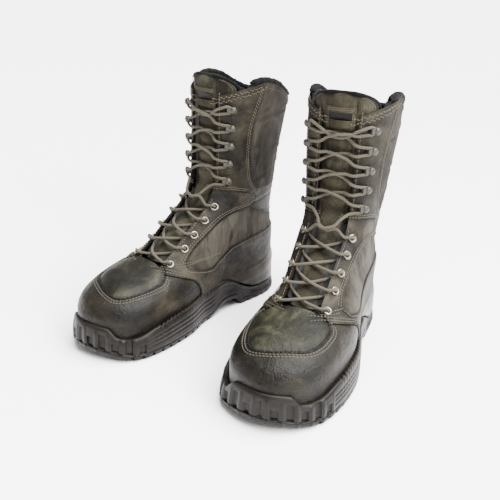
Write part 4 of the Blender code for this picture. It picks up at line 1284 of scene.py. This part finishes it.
@dataclass
class SoleUnit:
    """The sole's moulded wall with its toe bumper, its tread and the heel clip."""

    upper: Upper
    columns: int = 760
    rows: int = 66
    rib_pitch: float = 15.5 * MM
    bumper_reach: float = 0.088
    tread_line: float = 8.5 * MM

    def wall_shape(self, u: Array, v: Array) -> Array:
        """Points of the wall: u runs round the sole, v round its section."""
        last = self.upper.last
        angle = u * TURN
        _, y = last.sole_point(angle, 0.0)
        bottom, rim = last.underside(y), last.rim(y)
        rim = rim + self.notches(angle)
        section = np.array([(16.0, .10), (4.0, .0), (1.6, .02), (0.5, .09), (0.0, .20), (0.3, .45),
                            (1.0, .70), (2.0, .90), (3.2, .985), (4.6, 1.0), (7.4, .98), (10.5, .90),
                            (14.0, .60), (16.0, .10)])
        along = np.array([0, .07, .10, .13, .20, .42, .60, .72, .77, .81, .86, .91, .96, 1.0])
        inset = np.interp(v, along, section[:, 0]) * MM
        share = np.interp(v, along, section[:, 1])
        height = rim - bottom
        inset = inset - self.relief(angle, y, share * height, height, v)
        x, y = last.sole_point(angle, inset)
        return np.stack([x, y, bottom + share * height], axis=1)

    def arc(self, angle: Array) -> Array:
        """Distance along the sole's edge from the toe's tip, positive on the outer side."""
        fine = np.linspace(-math.pi, math.pi, 1441)
        x, y = self.upper.last.sole_point(fine, 0.0)
        run = np.concatenate([[0], np.cumsum(np.hypot(np.diff(x), np.diff(y)))])
        run -= np.interp(0.0, fine, run)
        return np.interp((angle + math.pi) % TURN - math.pi, fine, run)

    def notches(self, angle: Array) -> Array:
        """The saw-tooth along the rim beside the ball of the foot."""
        run = np.abs(self.arc(angle))
        tooth = np.abs(((run / (6.5 * MM)) % 1.0) - 0.5) * 2
        zone = ease((run - 0.092) / 0.012) * ease((0.215 - run) / 0.02)
        return -1.5 * MM * ease((tooth - 0.55) / 0.35) * zone

    def relief(self, angle: Array, y: Array, height: Array, full: Array,
               v: Array) -> Array:
        """How far the moulded details stand out of the wall, or in where negative."""
        run = self.arc(angle)
        outside = ease((v - 0.09) / 0.04) * ease((0.80 - v) / 0.06)
        toe = ease((self.bumper_reach - np.abs(run)) / 0.006)
        phase = run / self.rib_pitch
        cell = np.floor(phase + 0.5)
        slot = np.abs(phase - cell) * self.rib_pitch
        tall = np.where(cell % 2 == 0, 27 * MM, 20 * MM)
        deep = ease((4.2 * MM - slot) / (1.4 * MM)) * ease((height - 7 * MM) / (1.5 * MM))
        deep = deep * ease((tall - height) / (1.5 * MM))
        rib = ease((slot - 5.4 * MM) / (1.2 * MM)) * ease((30 * MM - height) / (4 * MM))
        out = toe * (0.5 * MM * rib - 1.9 * MM * deep)
        side = 1 - toe
        arch = ease(y / 0.02) * ease((0.085 - y) / 0.02)
        for share in (0.46, 0.60, 0.74):
            out = out - side * (1 - arch) * 0.75 * MM * bump(height / full, share, 0.055)
        swoop = ease((y - 0.005) / 0.03) * ease((0.100 - y) / 0.02)
        out = out + swoop * 1.6 * MM * bump(height / full, 0.93, 0.16)
        out = out - swoop * 1.3 * MM * bump(height / full, 0.55, 0.5)
        out = out - 0.8 * MM * bump(height, self.tread_line, 1.6 * MM)
        lug = np.abs(((np.abs(run) / (13.0 * MM)) % 1.0) - 0.5) * 2
        cut = ease((lug - 0.66) / 0.14) * ease((6.2 * MM - height) / (1.2 * MM))
        contact = ease((0.002 - self.upper.last.underside(y)) / 0.001)
        out = out - 2.4 * MM * cut * contact
        return out * outside

    def wall(self) -> Mesh:
        """The wall as one closed ring."""
        work = weld(wrapped(self.columns, self.rows, self.wall_shape), 1e-6)
        mesh = keep(outwards(work))
        points = coordinates(mesh)
        above = points[:, 2] - self.upper.last.underside(points[:, 1])
        mark(mesh, "tread", ease((self.tread_line - above) / (0.8 * MM)))
        mark(mesh, "edge", 0.55 * bump(points[:, 2] - self.upper.last.rim(points[:, 1]), 0.0, 2.5 * MM))
        return mesh

    def tread(self) -> Mesh:
        """The tread plate and its lugs."""
        last = self.upper.last

        def plate(top: float) -> Shape:
            """One face of the plate, a height above the sole's underside."""
            def shape(u: Array, v: Array) -> Array:
                """Points of the face."""
                angle = np.arccos(1 - 2 * np.clip(v, 0.004, 0.996))
                right, y = last.sole_point(angle, 6 * MM)
                left, _ = last.sole_point(-angle, 6 * MM)
                return np.stack([left + (right - left) * u, y, last.underside(y) + top], axis=1)
            return shape

        work = slab(24, 110, [plate(2.6 * MM), plate(8.0 * MM)])
        lugs = bmesh.new()
        lugs.loops.layers.uv.new("weave")
        pitch_x, pitch_y = 16 * MM, 14 * MM
        for row in range(-11, 12):
            for column in range(-5, 6):
                x = (column + 0.5 * (row % 2)) * pitch_x
                y = row * pitch_y + 0.002
                angle = last.angle_of(y, 0.03, x)
                reach = abs(float(last.sole_point(angle, 0.0)[0]))
                lifted = sum(abs(float(last.underside(y + step))) for step in (6 * MM, -6 * MM))
                if abs(x) > reach - 12 * MM or lifted > 1.5 * MM or not -0.140 < y < 0.138:
                    continue
                turn = Matrix.Rotation(math.radians(24 if column % 2 else -24), 4, "Z")
                size = Matrix.Diagonal((11 * MM, 8.4 * MM, 3.6 * MM, 1))
                place = Matrix.Translation((x, y, 1.85 * MM))
                bmesh.ops.create_cube(lugs, size=1, matrix=place @ turn @ size)
        bmesh.ops.bevel(lugs, geom=lugs.edges[:], offset=0.8 * MM, segments=2, profile=0.5, affect="EDGES",
                        material=-1)
        return unworn(gather([keep(work), keep(lugs)]))

    def clip(self) -> Mesh:
        """The moulded stabiliser that wraps the heel above the sole's rim."""
        wall = self.upper.shell(-3.3 * MM, -0.4 * MM, lambda a: np.full(np.shape(a), 0.0175),
                                lambda a: np.full(np.shape(a), 0.0640), 260)
        lower = flow([(.030, .0450), (.036, .0440), (.045, .0405), (.062, .0306), (.080, .0220),
                      (.095, .0196)], 5)
        upper = flow([(.140, .0585), (.118, .0525), (.095, .0465), (.060, .0460), (.034, .0475)], 5)
        mesh = combine(wall, prism([*lower, (.2, .0200), (.2, .0600), *upper], -.1, .1), "INTERSECT")
        points = coordinates(mesh)
        side = np.where(points[:, 0] >= 0, 1.0, -1.0)
        angle = self.upper.last.angle_of(points[:, 1], points[:, 2], side)
        normal = self.upper.last.normal(angle, points[:, 2])
        depth = np.einsum("ij,ij->i", self.upper.last.face(angle, points[:, 2]) - points, normal)
        run, rise = [.034, .060, .095, .118, .140, .2], [.0475, .046, .0465, .0525, .0585, .060]
        down = np.interp(points[:, 1], run, rise) - points[:, 2]
        swell = -1.9 * MM * ease(1 - down / (9 * MM)) + 0.7 * MM * bump(down, 13 * MM, 8 * MM)
        swell = swell - 0.5 * MM * bump(down, 19 * MM, 2.2 * MM)
        outer = depth < -1.8 * MM
        moved = points + normal * np.where(outer, swell, 0.0)[:, None]
        share = ease((0.046 - points[:, 2]) / 0.024) * ease((points[:, 1] - 0.062) / 0.02) * outer
        centre, reach = (self.upper.last.sole_toe + self.upper.last.sole_heel) / 2, 0.1565
        turn = np.arccos(np.clip((centre - points[:, 1] * 1.012) / reach, -1, 1)) * side
        edge_x, edge_y = self.upper.last.sole_point(turn, 1.2 * MM)
        moved[:, 0] += (edge_x - moved[:, 0]) * share * 0.8
        moved[:, 1] += np.maximum(edge_y - moved[:, 1], 0) * share * 0.8
        mesh.vertices.foreach_set("co", moved.astype(np.float32).ravel())
        # painted highlight: a lighter band along the heel cup's rounded shoulder, 8 mm under its top line
        mark(mesh, "edge", 0.8 * bump(down, 8 * MM, 7 * MM))
        return mesh

    def build(self) -> None:
        """Make and place the sole's pieces."""
        pair(self.wall(), "sole_wall", Kit.sole, nodes=["outsole"], crease=60)
        pair(self.tread(), "sole_tread", Kit.tread)
        pair(self.clip(), "heel_cup", Kit.clip, nodes=["heel_clip"])


# ------------------------------------------------------------------ lining, collar, tongue

@dataclass
class Inside:
    """The insulated lining, the padded collar and the footbed."""

    upper: Upper
    lining_throat: float = 33.5 * MM
    collar_end: float = 0.0640

    def lining(self) -> Mesh:
        """The inner sock's wall, open at the throat."""
        upper = self.upper
        wall = upper.shell(3.4 * MM, 7.4 * MM, lambda a: upper.last.seat(a) + 3.6 * MM, upper.last.top, 144)
        mesh = combine(wall, upper.throat_block(self.lining_throat, (-0.0680, 0.0660)), "DIFFERENCE")
        head = [(-.02, .2580), (.030, .2580), (.048, .2640), (.060, .2720), (.066, .2850), (.066, .33),
                (-.02, .33)]
        mesh = combine(mesh, prism(head, -.1, .1), "DIFFERENCE")
        points = coordinates(mesh)
        puff = np.array([noise.noise(Vector(p) * 55.0) for p in points]) * 0.5 * MM
        angle = upper.last.angle_of(points[:, 1], points[:, 2], points[:, 0])
        moved = points - upper.last.normal(angle, points[:, 2]) * puff[:, None]
        mesh.vertices.foreach_set("co", moved.astype(np.float32).ravel())
        return mesh

    def collar(self) -> Mesh:
        """The padded binding rolled over the topline, ending at the throat on both sides."""
        last = self.upper.last
        start = float(last.angle_of(self.collar_end, 0.283, 1))
        angle = np.linspace(start, TURN - start, 240)
        z = last.top(angle)
        out = last.normal(angle, z) * (1, 1, 0)
        out /= np.linalg.norm(out, axis=1, keepdims=True)
        centre = last.face(angle, z) - out * 3.6 * MM + np.array((0, 0, 2.6 * MM))
        plump = 4.5 * MM * (1 + 0.05 * np.sin(angle * 37) + 0.04 * np.sin(angle * 61))
        ends = ease((angle - start) / 0.10) * ease((TURN - start - angle) / 0.10)
        upright = np.tile((0, 0, 1.0), (len(centre), 1))
        return unworn(sweep(centre, plump * (0.55 + 0.45 * ends), 20, flatten=0.78, up=upright))

    def inner_band(self) -> Mesh:
        """The soft padded band inside the top of the shaft, quilted in three rolls."""
        last = self.upper.last
        start = float(last.angle_of(self.collar_end + 6 * MM, 0.283, 1))

        def face(depth: float, swell: float) -> Shape:
            """One face of the band."""
            def shape(u: Array, v: Array) -> Array:
                """Points of the face."""
                angle = start + (TURN - 2 * start) * u
                roll = np.abs(np.sin(v * math.pi * 3)) ** 0.6 * swell
                return last.skin(angle, last.top(angle) - 1 * MM - 42 * MM * (1 - v), depth + roll)
            return shape

        mesh = keep(slab(140, 36, [face(7.2 * MM, 0.0), face(8.2 * MM, 3.4 * MM)]))
        stretch_uv(mesh, 0.27, 0.042)
        return unworn(mesh)

    def footbed(self) -> Mesh:
        """The loose footbed with its raised rim."""
        last = self.upper.last

        def face(top: float, cup: float) -> Shape:
            """One face of the footbed."""
            def shape(u: Array, v: Array) -> Array:
                """Points of the face."""
                angle = np.arccos(1 - 2 * np.clip(v, 0.003, 0.997))
                edge = [last.skin(a, last.seat(a), 9.2 * MM) for a in (-angle, angle)]
                spot = edge[0] + (edge[1] - edge[0]) * u[:, None]
                rim = np.abs(2 * u - 1) ** 4 * cup * ease((spot[:, 1] + 0.02) / 0.06)
                spot[:, 2] = last.floor(spot[:, 1]) + top + rim
                return spot
            return shape

        return keep(slab(40, 90, [face(7.0 * MM, 0.0), face(11.6 * MM, 3.0 * MM)]))

    def build(self) -> None:
        """Make and place the soft inner pieces."""
        made = (
            (0.4, pair(self.lining(), "sock_lining", Kit.lining,
                       nodes=["insulated_bootie"])),
            (0.7, pair(self.collar(), "collar_roll", Kit.collar,
                       nodes=["collar_binding"])),
            (0.5, pair(self.inner_band(), "collar_padding", Kit.collar)),
            (0.3, pair(self.footbed(), "insole_pad", Kit.footbed, "footbed", ["footbed"])),
        )


@dataclass
class Tongue:
    """The padded tongue, its bellows, its webbing keeper with a black strip painted as the shadow in its
    slot, and a plain oval patch.
    """

    upper: Upper
    foot: float = 0.0905
    head: float = 0.2945
    pad_half: float = 14.5 * MM
    span: Curve = Curve((.0905, 22 * MM), (.1120, 28 * MM), (.1540, 31 * MM), (.2560, 31 * MM),
                        (.2640, 34 * MM), (.2740, 40 * MM), (.2810, 41 * MM), (.2860, 38 * MM),
                        (.2900, 32 * MM), (.2930, 23 * MM), (.2945, 14 * MM))
    rise: Curve = Curve((.0905, 0), (.2450, 0), (.2700, 4.6 * MM), (.2945, 4.6 * MM))
    pad_pitch: float = 21.5 * MM
    pad_level: float = 0.1772
    ankle: float = 0.150
    depth: tuple[float, float] = (7.9 * MM, 13.2 * MM)
    bellows_cut: tuple[float, float] = (0.0133, 0.100)

    def surface(self, x: Array, z: Array, depth: Array) -> Array:
        """Points at a depth under the tongue's plain face."""
        return self.upper.last.stay(x, z, depth - self.rise(z))

    def pad(self) -> Mesh:
        """The tongue itself, puffed between its sewn channels."""
        def face(front: bool) -> Shape:
            """The outer or the inner face."""
            def shape(u: Array, v: Array) -> Array:
                """Points of the face."""
                z = self.foot + (self.head - self.foot) * v
                side = 2 * u - 1
                x = side * self.span(z)
                if not front:
                    return self.surface(x, z, self.depth[1] - 2.2 * MM * np.abs(side) ** 6)
                low = 1 - ease((z - self.ankle) / 0.018)
                flank = ease((np.abs(x) - self.pad_half) / (3.5 * MM)) * low * 3.4 * MM
                channel = bump(np.abs(x), 17 * MM, 2.6 * MM) * (1.4 * MM * (1 - low))
                edge = 2.4 * MM * np.abs(side) ** 8 + 2.2 * MM * ease((v - 0.965) / 0.035)
                puff = -0.9 * MM * (1 - (x / (32 * MM)) ** 2)
                inner = ease((24 * MM - np.abs(x)) / (14 * MM))
                swell = np.cos((z - self.pad_level) * TURN / self.pad_pitch) * inner
                puff = puff - 1.5 * MM * swell * (1 - low) * ease((0.262 - z) / 0.006)
                return self.surface(x, z, self.depth[0] + flank + channel + edge + puff)
            return shape

        mesh = keep(slab(56, 150, [face(True), face(False)]))
        stretch_uv(mesh, 0.060, 0.24)
        points = coordinates(mesh)
        # painted shadow: the lower flanks beyond the pad, sunk under the stays, are marked so that the cloth
        # is coloured dark there
        low = 1 - ease((points[:, 2] - self.ankle) / 0.018)
        dark = low * ease((np.abs(points[:, 0]) - self.pad_half) / (3 * MM))
        mark(mesh, "edge", np.clip(dark, 0, 1))
        return mesh

    def binding(self) -> Mesh:
        """The black roll along the tongue's head."""
        rise = np.linspace(.2700, self.head - 0.2 * MM, 40)
        half = np.column_stack([self.span(rise) - 1 * MM, rise])
        outline = np.concatenate([half * (-1, 1), half[::-1]])
        route = np.array([self.surface(x, z, self.depth[0] + 2.4 * MM) for x, z in outline])
        route = evenly(route, 1.5 * MM)
        thick = 2.3 * MM * ease((outline[:, 1] - .2690) / .008) + 0.4 * MM
        thick = np.interp(np.linspace(0, 1, len(route)), np.linspace(0, 1, len(thick)), thick)
        return unworn(sweep(route, thick, 12))

    def bellows(self, side: float) -> Mesh:
        """The thin folded cloth from the tongue's edge to under the stay."""
        def face(extra: float) -> Shape:
            """One face of the cloth."""
            def shape(u: Array, v: Array) -> Array:
                """Points of the face."""
                z = 0.0925 + (0.1560 - 0.0925) * v
                x = side * (self.pad_half + 0.5 * MM + (26 * MM - self.pad_half) * u)
                fold = 1.1 * MM * np.sin(u * TURN * 1.25) + 0.5 * MM * np.sin(v * TURN * 5 + u * 4)
                return self.surface(x, z, 6.9 * MM - 1.4 * MM * u + fold + extra)
            return shape

        return keep(slab(26, 60, [face(0.0), face(0.5 * MM)]))

    def band(self, half: float, low: float, high: float, stand_off: Curve, thick: float) -> Mesh:
        """A strip across the tongue that stands off it."""
        def face(extra: float) -> Shape:
            """One face of the strip."""
            def shape(u: Array, v: Array) -> Array:
                """Points of the face."""
                z = low + (high - low) * v
                x = (2 * u - 1) * half
                edge = 0.3 * MM * (np.abs(2 * v - 1) ** 6)
                return self.surface(x, z, self.depth[0] - stand_off(np.abs(x)) - extra + edge)
            return shape

        mesh = keep(slab(40, 12, [face(thick), face(0.0)]))
        stretch_uv(mesh, 2 * half, high - low)
        return unworn(mesh)

    def patch(self) -> Mesh:
        """A plain oval leather patch below the keeper."""
        def face(depth: float) -> Shape:
            """One face of the patch."""
            def shape(u: Array, v: Array) -> Array:
                """Points of the face, a square grid drawn into an oval."""
                a, b = 2 * u - 1, 2 * v - 1
                x = a * np.sqrt(1 - b * b / 2) * 11.5 * MM
                z = 0.2505 + b * np.sqrt(1 - a * a / 2) * 4.6 * MM
                edge = 0.5 * MM * np.clip(np.maximum(np.abs(a), np.abs(b)) * 4 - 3, 0, 1)
                return self.surface(x, z, depth + (edge if depth < self.depth[0] - MM else 0))
            return shape

        faces = [face(self.depth[0] - 2.6 * MM), face(self.depth[0] - 0.4 * MM)]
        return unworn(keep(slab(24, 24, faces)))

    def stitches(self) -> Mesh:
        """The rows along the tongue's head and round the keeper."""
        sewing = Stitching(self.upper.last, 2.6 * MM, 2.0 * MM, 0.35 * MM)
        work = bmesh.new()
        work.loops.layers.uv.new("weave")

        def sew(x: Array, z: Array, lift: float) -> None:
            """Sew one row along x and z."""
            angle = self.upper.last.angle_across(x, z)
            sewing.row(work, self.surface(x, z, self.depth[0] - lift), self.upper.last.normal(angle, z))

        for inset in (3.4 * MM, 5.8 * MM):
            z = np.concatenate([np.linspace(.278, .2860, 10), np.linspace(.2860, .2915, 16)])
            edge = self.span(z) - inset
            sew(edge, z, 0.9 * MM)
            sew(-edge, z, 0.9 * MM)
        for level, zig in ((0.2770, 0.8 * MM), (0.2790, 0.8 * MM)):
            x = np.linspace(-15 * MM, 15 * MM, 41)
            sew(x, level + zig * np.where(np.arange(41) // 2 % 2, 1, -1), 1.9 * MM)
        for x in (-15.5 * MM, -13.5 * MM, 13.5 * MM, 15.5 * MM):
            z = np.linspace(.2575, .2690, 10)
            sew(np.full(10, x), z, 2.6 * MM)
        return keep(work)

    def build(self) -> None:
        """Make and place the tongue's pieces."""
        for item in pair(self.pad(), "tongue_pad", Kit.tongue, "tongue", ["tongue"]):
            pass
        pair(self.binding(), "tongue_binding", Kit.collar, "tongue")
        loop = Curve((0, 3.6 * MM), (9 * MM, 3.0 * MM), (13 * MM, 1.5 * MM), (17 * MM, 0.9 * MM))
        bar = Curve((0, 0.9 * MM), (20 * MM, 0.9 * MM))
        slot = Curve((0, 0.5 * MM), (20 * MM, 0.5 * MM))
        keeper = self.band(17 * MM, .2590, .2670, loop, 1.2 * MM)
        pair(keeper, "keeper_loop", Kit.webbing, "tongue", ["lace_keeper"])
        keeper = self.band(17.5 * MM, .2745, .2812, bar, 1.0 * MM)
        pair(keeper, "keeper_bar", Kit.webbing, "tongue")
        # painted shadow: a thin black strip set in the gap between the keeper's loop and its bar, where that
        # gap is in shade
        keeper = self.band(13 * MM, .2655, .2752, slot, 0.5 * MM)
        pair(keeper, "keeper_slot_shadow", Kit.piping, "tongue")
        pair(self.patch(), "oval_patch", Kit.stay, "tongue")
        pair(self.stitches(), "tongue_stitching", Kit.thread, "tongue")
        for word, side in SIDES:
            mesh = self.bellows(side)
            for hand in Hand:
                self.hang(mesh, hand, word, side)

    def hang(self, mesh: Mesh, hand: Hand, word: str, side: float) -> None:
        """Stand one side's bellows between its boot and its tongue, riding on neither."""
        item = stand(mesh, hand, f"{word}_bellows", Kit.gusset, None)
        reach = (25 * MM, 15.5 * MM)
        ends = [hand.matrix @ Vector(self.surface(side * x, 0.125, 7 * MM)) for x in reach]
        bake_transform(item)


# ------------------------------------------------------------------ eyelets, hooks and laces

@dataclass
class Hardware:
    """Rolled ring eyelets and domed speed hooks."""

    upper: Upper
    bore: float = 2.45 * MM
    flange: float = 5.1 * MM
    hook_levels: tuple[float, ...] = (0.1720, 0.1935, 0.2150, 0.2365, 0.2580)
    hook_x: tuple[float, float] = (30.2 * MM, 33.4 * MM)
    shank: float = 1.7 * MM

    def hook_places(self) -> list[tuple[float, float]]:
        """Where the hooks sit, as distance from the middle and height."""
        last = len(self.hook_levels) - 1
        low, high = self.hook_x
        return [(low + (high - low) * i / last, z) for i, z in enumerate(self.hook_levels)]

    def eyelet(self) -> Mesh:
        """One eyelet: a rolled ring with its barrel, turned about its axis."""
        middle, wall = (self.bore + self.flange) / 2, (self.flange - self.bore) / 2
        arc = [(middle + wall * math.cos(t), 1.35 + 1.25 * math.sin(t)) for t in np.linspace(0, math.pi, 11)]
        profile = [(self.flange, 1.0), *arc, (self.bore, -3.0), (self.bore + 0.5 * MM, -3.0),
                   (self.bore + 0.5 * MM, 0.9)]
        work = bmesh.new()
        verts = [work.verts.new((r, 0, h * MM)) for r, h in profile]
        edges = [work.edges.new(ends) for ends in zip(verts, verts[1:] + verts[:1])]
        bmesh.ops.spin(work, geom=verts + edges, cent=(0, 0, 0), axis=(0, 0, 1), angle=TURN, steps=32,
                       use_merge=True)
        return keep(outwards(weld(work, 1e-6)))

    def hook(self) -> Mesh:
        """One speed hook: base plate, bent neck, arm and domed end."""
        work = bmesh.new()
        base = ((0.4 * MM, 0, 1.25 * MM), (9.4 * MM, 7.4 * MM, 0.9 * MM))
        neck = ((-4.4 * MM, 0, 3.9 * MM), (1.1 * MM, 6.0 * MM, 6.0 * MM))
        arm = ((-1.0 * MM, 0, 6.5 * MM), (7.6 * MM, 5.4 * MM, 1.2 * MM))
        for place, size in (base, neck, arm):
            matrix = Matrix.Translation(place) @ Matrix.Diagonal((*size, 1))
            block = bmesh.ops.create_cube(work, size=1, matrix=matrix)["verts"]
            edges = list({edge for vert in block for edge in vert.link_edges})
            bmesh.ops.bevel(work, geom=edges, offset=0.42 * MM, segments=3, profile=0.5, affect="EDGES",
                            material=-1)
        swell = Matrix.Diagonal((4.2 * MM, 4.2 * MM, 2.9 * MM, 1))
        dome = bmesh.ops.create_uvsphere(work, u_segments=24, v_segments=16, radius=1,
                                         matrix=Matrix.Translation((2.3 * MM, 0, 5.9 * MM)) @ swell)
        for vert in dome["verts"]:
            vert.co.z = max(vert.co.z, 5.5 * MM)
        bmesh.ops.create_cone(work, cap_ends=True, segments=20, radius1=self.shank, radius2=self.shank,
                              depth=2 * self.shank, matrix=Matrix.Translation((0, 0, -0.6 * MM)))
        return keep(outwards(work))

    def row(self, mesh: Mesh, places: Sequence[tuple[float, float]], side: float) -> Mesh:
        """Copies of one fitting along a stay."""
        copies = []
        for x, z in places:
            copy = mesh.copy()
            matrix = self.upper.last.axes(side * x, z)
            copy.transform(matrix)
            if matrix.determinant() < 0:
                copy.flip_normals()
            copies.append(copy)
        return gather(copies)

    def build(self) -> None:
        """Make and place every eyelet and hook."""
        eyelets = [(self.upper.eyelet_x, z) for z in self.upper.eyelet_levels]
        for word, side in SIDES:
            rings = self.row(self.eyelet(), eyelets, side)
            pair(rings, f"{word}_ring_eyelets", Kit.eyelet, nodes=[f"{word}_eyelet_row"])
            hooks = self.row(self.hook(), self.hook_places(), side)
            pair(hooks, f"{word}_speed_hooks", Kit.hook, nodes=[f"{word}_hook_row"])


@dataclass
class Lacing:
    """The lace, held all the way by the eyelets and hooks."""

    upper: Upper
    hardware: Hardware
    tongue: Tongue
    radius: float = 1.7 * MM
    under: float = 5.6 * MM
    edge: float = 19.2 * MM

    def eyelet(self, side: float, i: int) -> list[Vector]:
        """Up from under the stay, through the eyelet and over the stay's edge."""
        last, z = self.upper.last, self.upper.eyelet_levels[i]
        axes = last.axes(side * self.upper.eyelet_x, z)
        steps = ((-0.6, -0.3, -5.4), (0, 0, -3.6), (0, 0, 2.2), (-1.8, 0.5, 4.9), (-5.0, 1.3, 4.9))
        first = last.stay(side * (self.upper.eyelet_x - 6.5 * MM), z - 1.2 * MM, self.under)
        over = last.stay(side * self.edge, z + 1.6 * MM, -3.4 * MM)
        return [Vector(first), *[axes @ (Vector(step) * MM) for step in steps], Vector(over)]

    def hook(self, side: float, i: int) -> list[Vector]:
        """Round a speed hook's neck from below."""
        x, z = self.hardware.hook_places()[i]
        axes = self.upper.last.axes(side * x, z)
        steps = ((-6.4, -3.9, 4.0), (-2.4, -3.6, 3.9), (0.2, -1.9, 3.8), (0.8, 0, 3.8), (0.2, 1.9, 3.8),
                 (-2.4, 3.6, 3.9), (-6.4, 3.9, 4.0))
        turns = (-5.8 * MM, 5.8 * MM)
        ends = [Vector(self.upper.last.stay(side * self.edge, z + rise, -3.0 * MM)) for rise in turns]
        return [ends[0], *[axes @ (Vector(step) * MM) for step in steps], ends[1]]

    def middle(self, z: float, above: float, x: float = 0.0) -> Vector:
        """A point over the tongue."""
        return Vector(self.tongue.surface(x, z, self.tongue.depth[0] - above))

    def climb(self, side: float) -> list[Vector]:
        """One half of the lace, from its low eyelet to its top hook."""
        height = 4.9 * MM if side > 0 else 8.6 * MM
        path, hand = [], side
        levels = self.upper.eyelet_levels
        for i, level in enumerate(levels):
            path += self.eyelet(hand, i)
            if i < len(levels) - 1:
                path.append(self.middle((level + levels[i + 1]) / 2 + 1.5 * MM, height))
                hand = -hand
        hand = -hand
        path += self.slack(side, height)
        levels = self.hardware.hook_levels
        for i, level in enumerate(levels):
            path += self.hook(hand, i)
            if i < len(levels) - 1:
                path += self.arch(hand, level, levels[i + 1], height)
                hand = -hand
        return path

    def arch(self, hand: float, low: float, high: float, height: float) -> list[Vector]:
        """From one hook over the tongue to the next, bowed up so that the crossing lies high."""
        gap = high - low
        return [self.middle(low + gap * 0.52, height - 0.8 * MM, hand * 11.5 * MM),
                self.middle(low + gap * 0.72, height),
                self.middle(low + gap * 0.78, height - 0.8 * MM, hand * -11.5 * MM)]

    def slack(self, side: float, height: float) -> list[Vector]:
        """The slack at the ankle, sagging in a shallow bow towards the next hook."""
        high = height + 3.4 * MM
        spots = ((0.6, .1500, 2.0), (0.1, .1478, 4.0), (-0.45, .1520, 4.0), (-0.7, .1590, 2.6))
        return [self.middle(z, high + lift * MM, side * share * 17 * MM) for share, z, lift in spots]

    def route(self) -> Array:
        """The lace's whole route: in at one low eyelet, up, across the top, and down again."""
        right, left = self.climb(1.0), self.climb(-1.0)
        for path in (right, left):
            side = math.copysign(self.edge, path[-2].x)
            path[-1] = Vector(self.upper.last.stay(side, self.hardware.hook_levels[-1] - 1 * MM, -3.2 * MM))
        sag = [self.middle(z, 5.6 * MM, x) for x, z in ((10 * MM, .2500), (0.0, .2482), (-10 * MM, .2500))]
        sag = sag if right[-1].x > 0 else sag[::-1]
        return smooth_route([*right, *sag, *left[::-1]], 1.3 * MM)

    def build(self) -> None:
        """Make and place the laces."""
        cord = sweep(self.route(), self.radius, 10)
        pair(cord, "braided_lace", Kit.lace, nodes=["lace"], crease=70)


# ------------------------------------------------------------------ hidden pieces and studio

def dress_hidden() -> None:
    """Give the pieces inside the boots their finishes."""
    finishes = {"midsole": Kit.foam, "shank": Kit.steel, "lasting_board": Kit.board, "toe_puff": Kit.sheet,
                "heel_counter": Kit.sheet}
    for hand in Hand:
        for node, finish in finishes.items():
            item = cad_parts[f"{hand.word}_{node}"]
            item.data.materials.clear()
            item.data.materials.append(finish.material())


@dataclass
class Studio:
    """The plain floor, the soft lights and the camera."""

    eye: tuple[float, float, float] = (0.3477, -0.6179, 0.4026)
    yaw: float = -0.5043
    pitch: float = -0.3967
    roll: float = 0.0393
    lens: float = 46.96
    sensor: float = 36.0

    def camera(self) -> None:
        """Set the camera."""
        data = bpy.data.cameras.new("camera")
        data.lens, data.sensor_width = self.lens, self.sensor
        data.clip_start = 0.01
        item = bpy.data.objects.new("camera", data)
        bpy.context.scene.collection.objects.link(item)
        ahead = Vector((math.sin(self.yaw) * math.cos(self.pitch), math.cos(self.yaw) * math.cos(self.pitch),
                        math.sin(self.pitch)))
        right = Vector((math.cos(self.yaw), -math.sin(self.yaw), 0))
        up = right.cross(ahead)
        right, up = (right * math.cos(self.roll) + up * math.sin(self.roll),
                     up * math.cos(self.roll) - right * math.sin(self.roll))
        turn = Matrix((right, up, -ahead)).transposed().to_4x4()
        item.matrix_world = Matrix.Translation(self.eye) @ turn
        bpy.context.scene.camera = item

    def floor(self) -> None:
        """Lay the floor."""
        work = bmesh.new()
        bmesh.ops.create_grid(work, x_segments=1, y_segments=1, size=80.0)
        mesh = keep(work, "floor")
        material = bpy.data.materials.new("pale_floor")
        material.use_nodes = True
        shader = material.node_tree.nodes["Principled BSDF"]
        shader.inputs["Base Color"].default_value = (0.93, 0.91, 0.915, 1)
        shader.inputs["Roughness"].default_value = 0.75
        mesh.materials.append(material)
        item = bpy.data.objects.new("floor", mesh)
        bpy.context.scene.collection.objects.link(item)

    def lamp(self, name: str, place: Colour, size: float, power: float, colour: Colour = (1, 1, 1)) -> None:
        """Hang one soft light that looks at the boots."""
        data = bpy.data.lights.new(name, "AREA")
        data.shape, data.size, data.energy, data.color = "DISK", size, power, colour
        item = bpy.data.objects.new(name, data)
        bpy.context.scene.collection.objects.link(item)
        item.location = place
        item.rotation_euler = (Vector((0, 0, 0.12)) - Vector(place)).to_track_quat("-Z", "Y").to_euler()

    def sky(self, name: str, place: Colour, spread: float, strength: float) -> None:
        """Hang a wide, even light far above, seen under an angle in degrees."""
        data = bpy.data.lights.new(name, "SUN")
        data.angle, data.energy = math.radians(spread), strength
        item = bpy.data.objects.new(name, data)
        bpy.context.scene.collection.objects.link(item)
        item.rotation_euler = (-Vector(place)).to_track_quat("-Z", "Y").to_euler()

    def build(self) -> None:
        """Set the whole studio."""
        self.camera()
        self.floor()
        self.sky("ceiling", (0.34, 0.16, 1.0), 60.0, 20.0)
        self.lamp("key", (1.5, -0.5, 1.1), 0.8, 75.0, (1.0, 0.985, 0.95))
        world = bpy.data.worlds.new("studio")
        world.use_nodes = True
        world.node_tree.nodes["Background"].inputs["Color"].default_value = (0.97, 0.965, 0.975, 1)
        world.node_tree.nodes["Background"].inputs["Strength"].default_value = 0.88
        bpy.context.scene.world = world


def main() -> None:
    """Build the boots in order, then the studio."""
    logging.basicConfig(level=logging.INFO, format="%(name)s: %(message)s")
    upper = Upper(Last(), Seams())
    Studio().build()
    upper.build()
    SeamWork(upper).build()
    SoleUnit(upper).build()
    Inside(upper).build()
    tongue = Tongue(upper)
    tongue.build()
    hardware = Hardware(upper)
    hardware.build()
    Lacing(upper, hardware, tongue).build()
    dress_hidden()


if __name__ == "__main__":
    main()
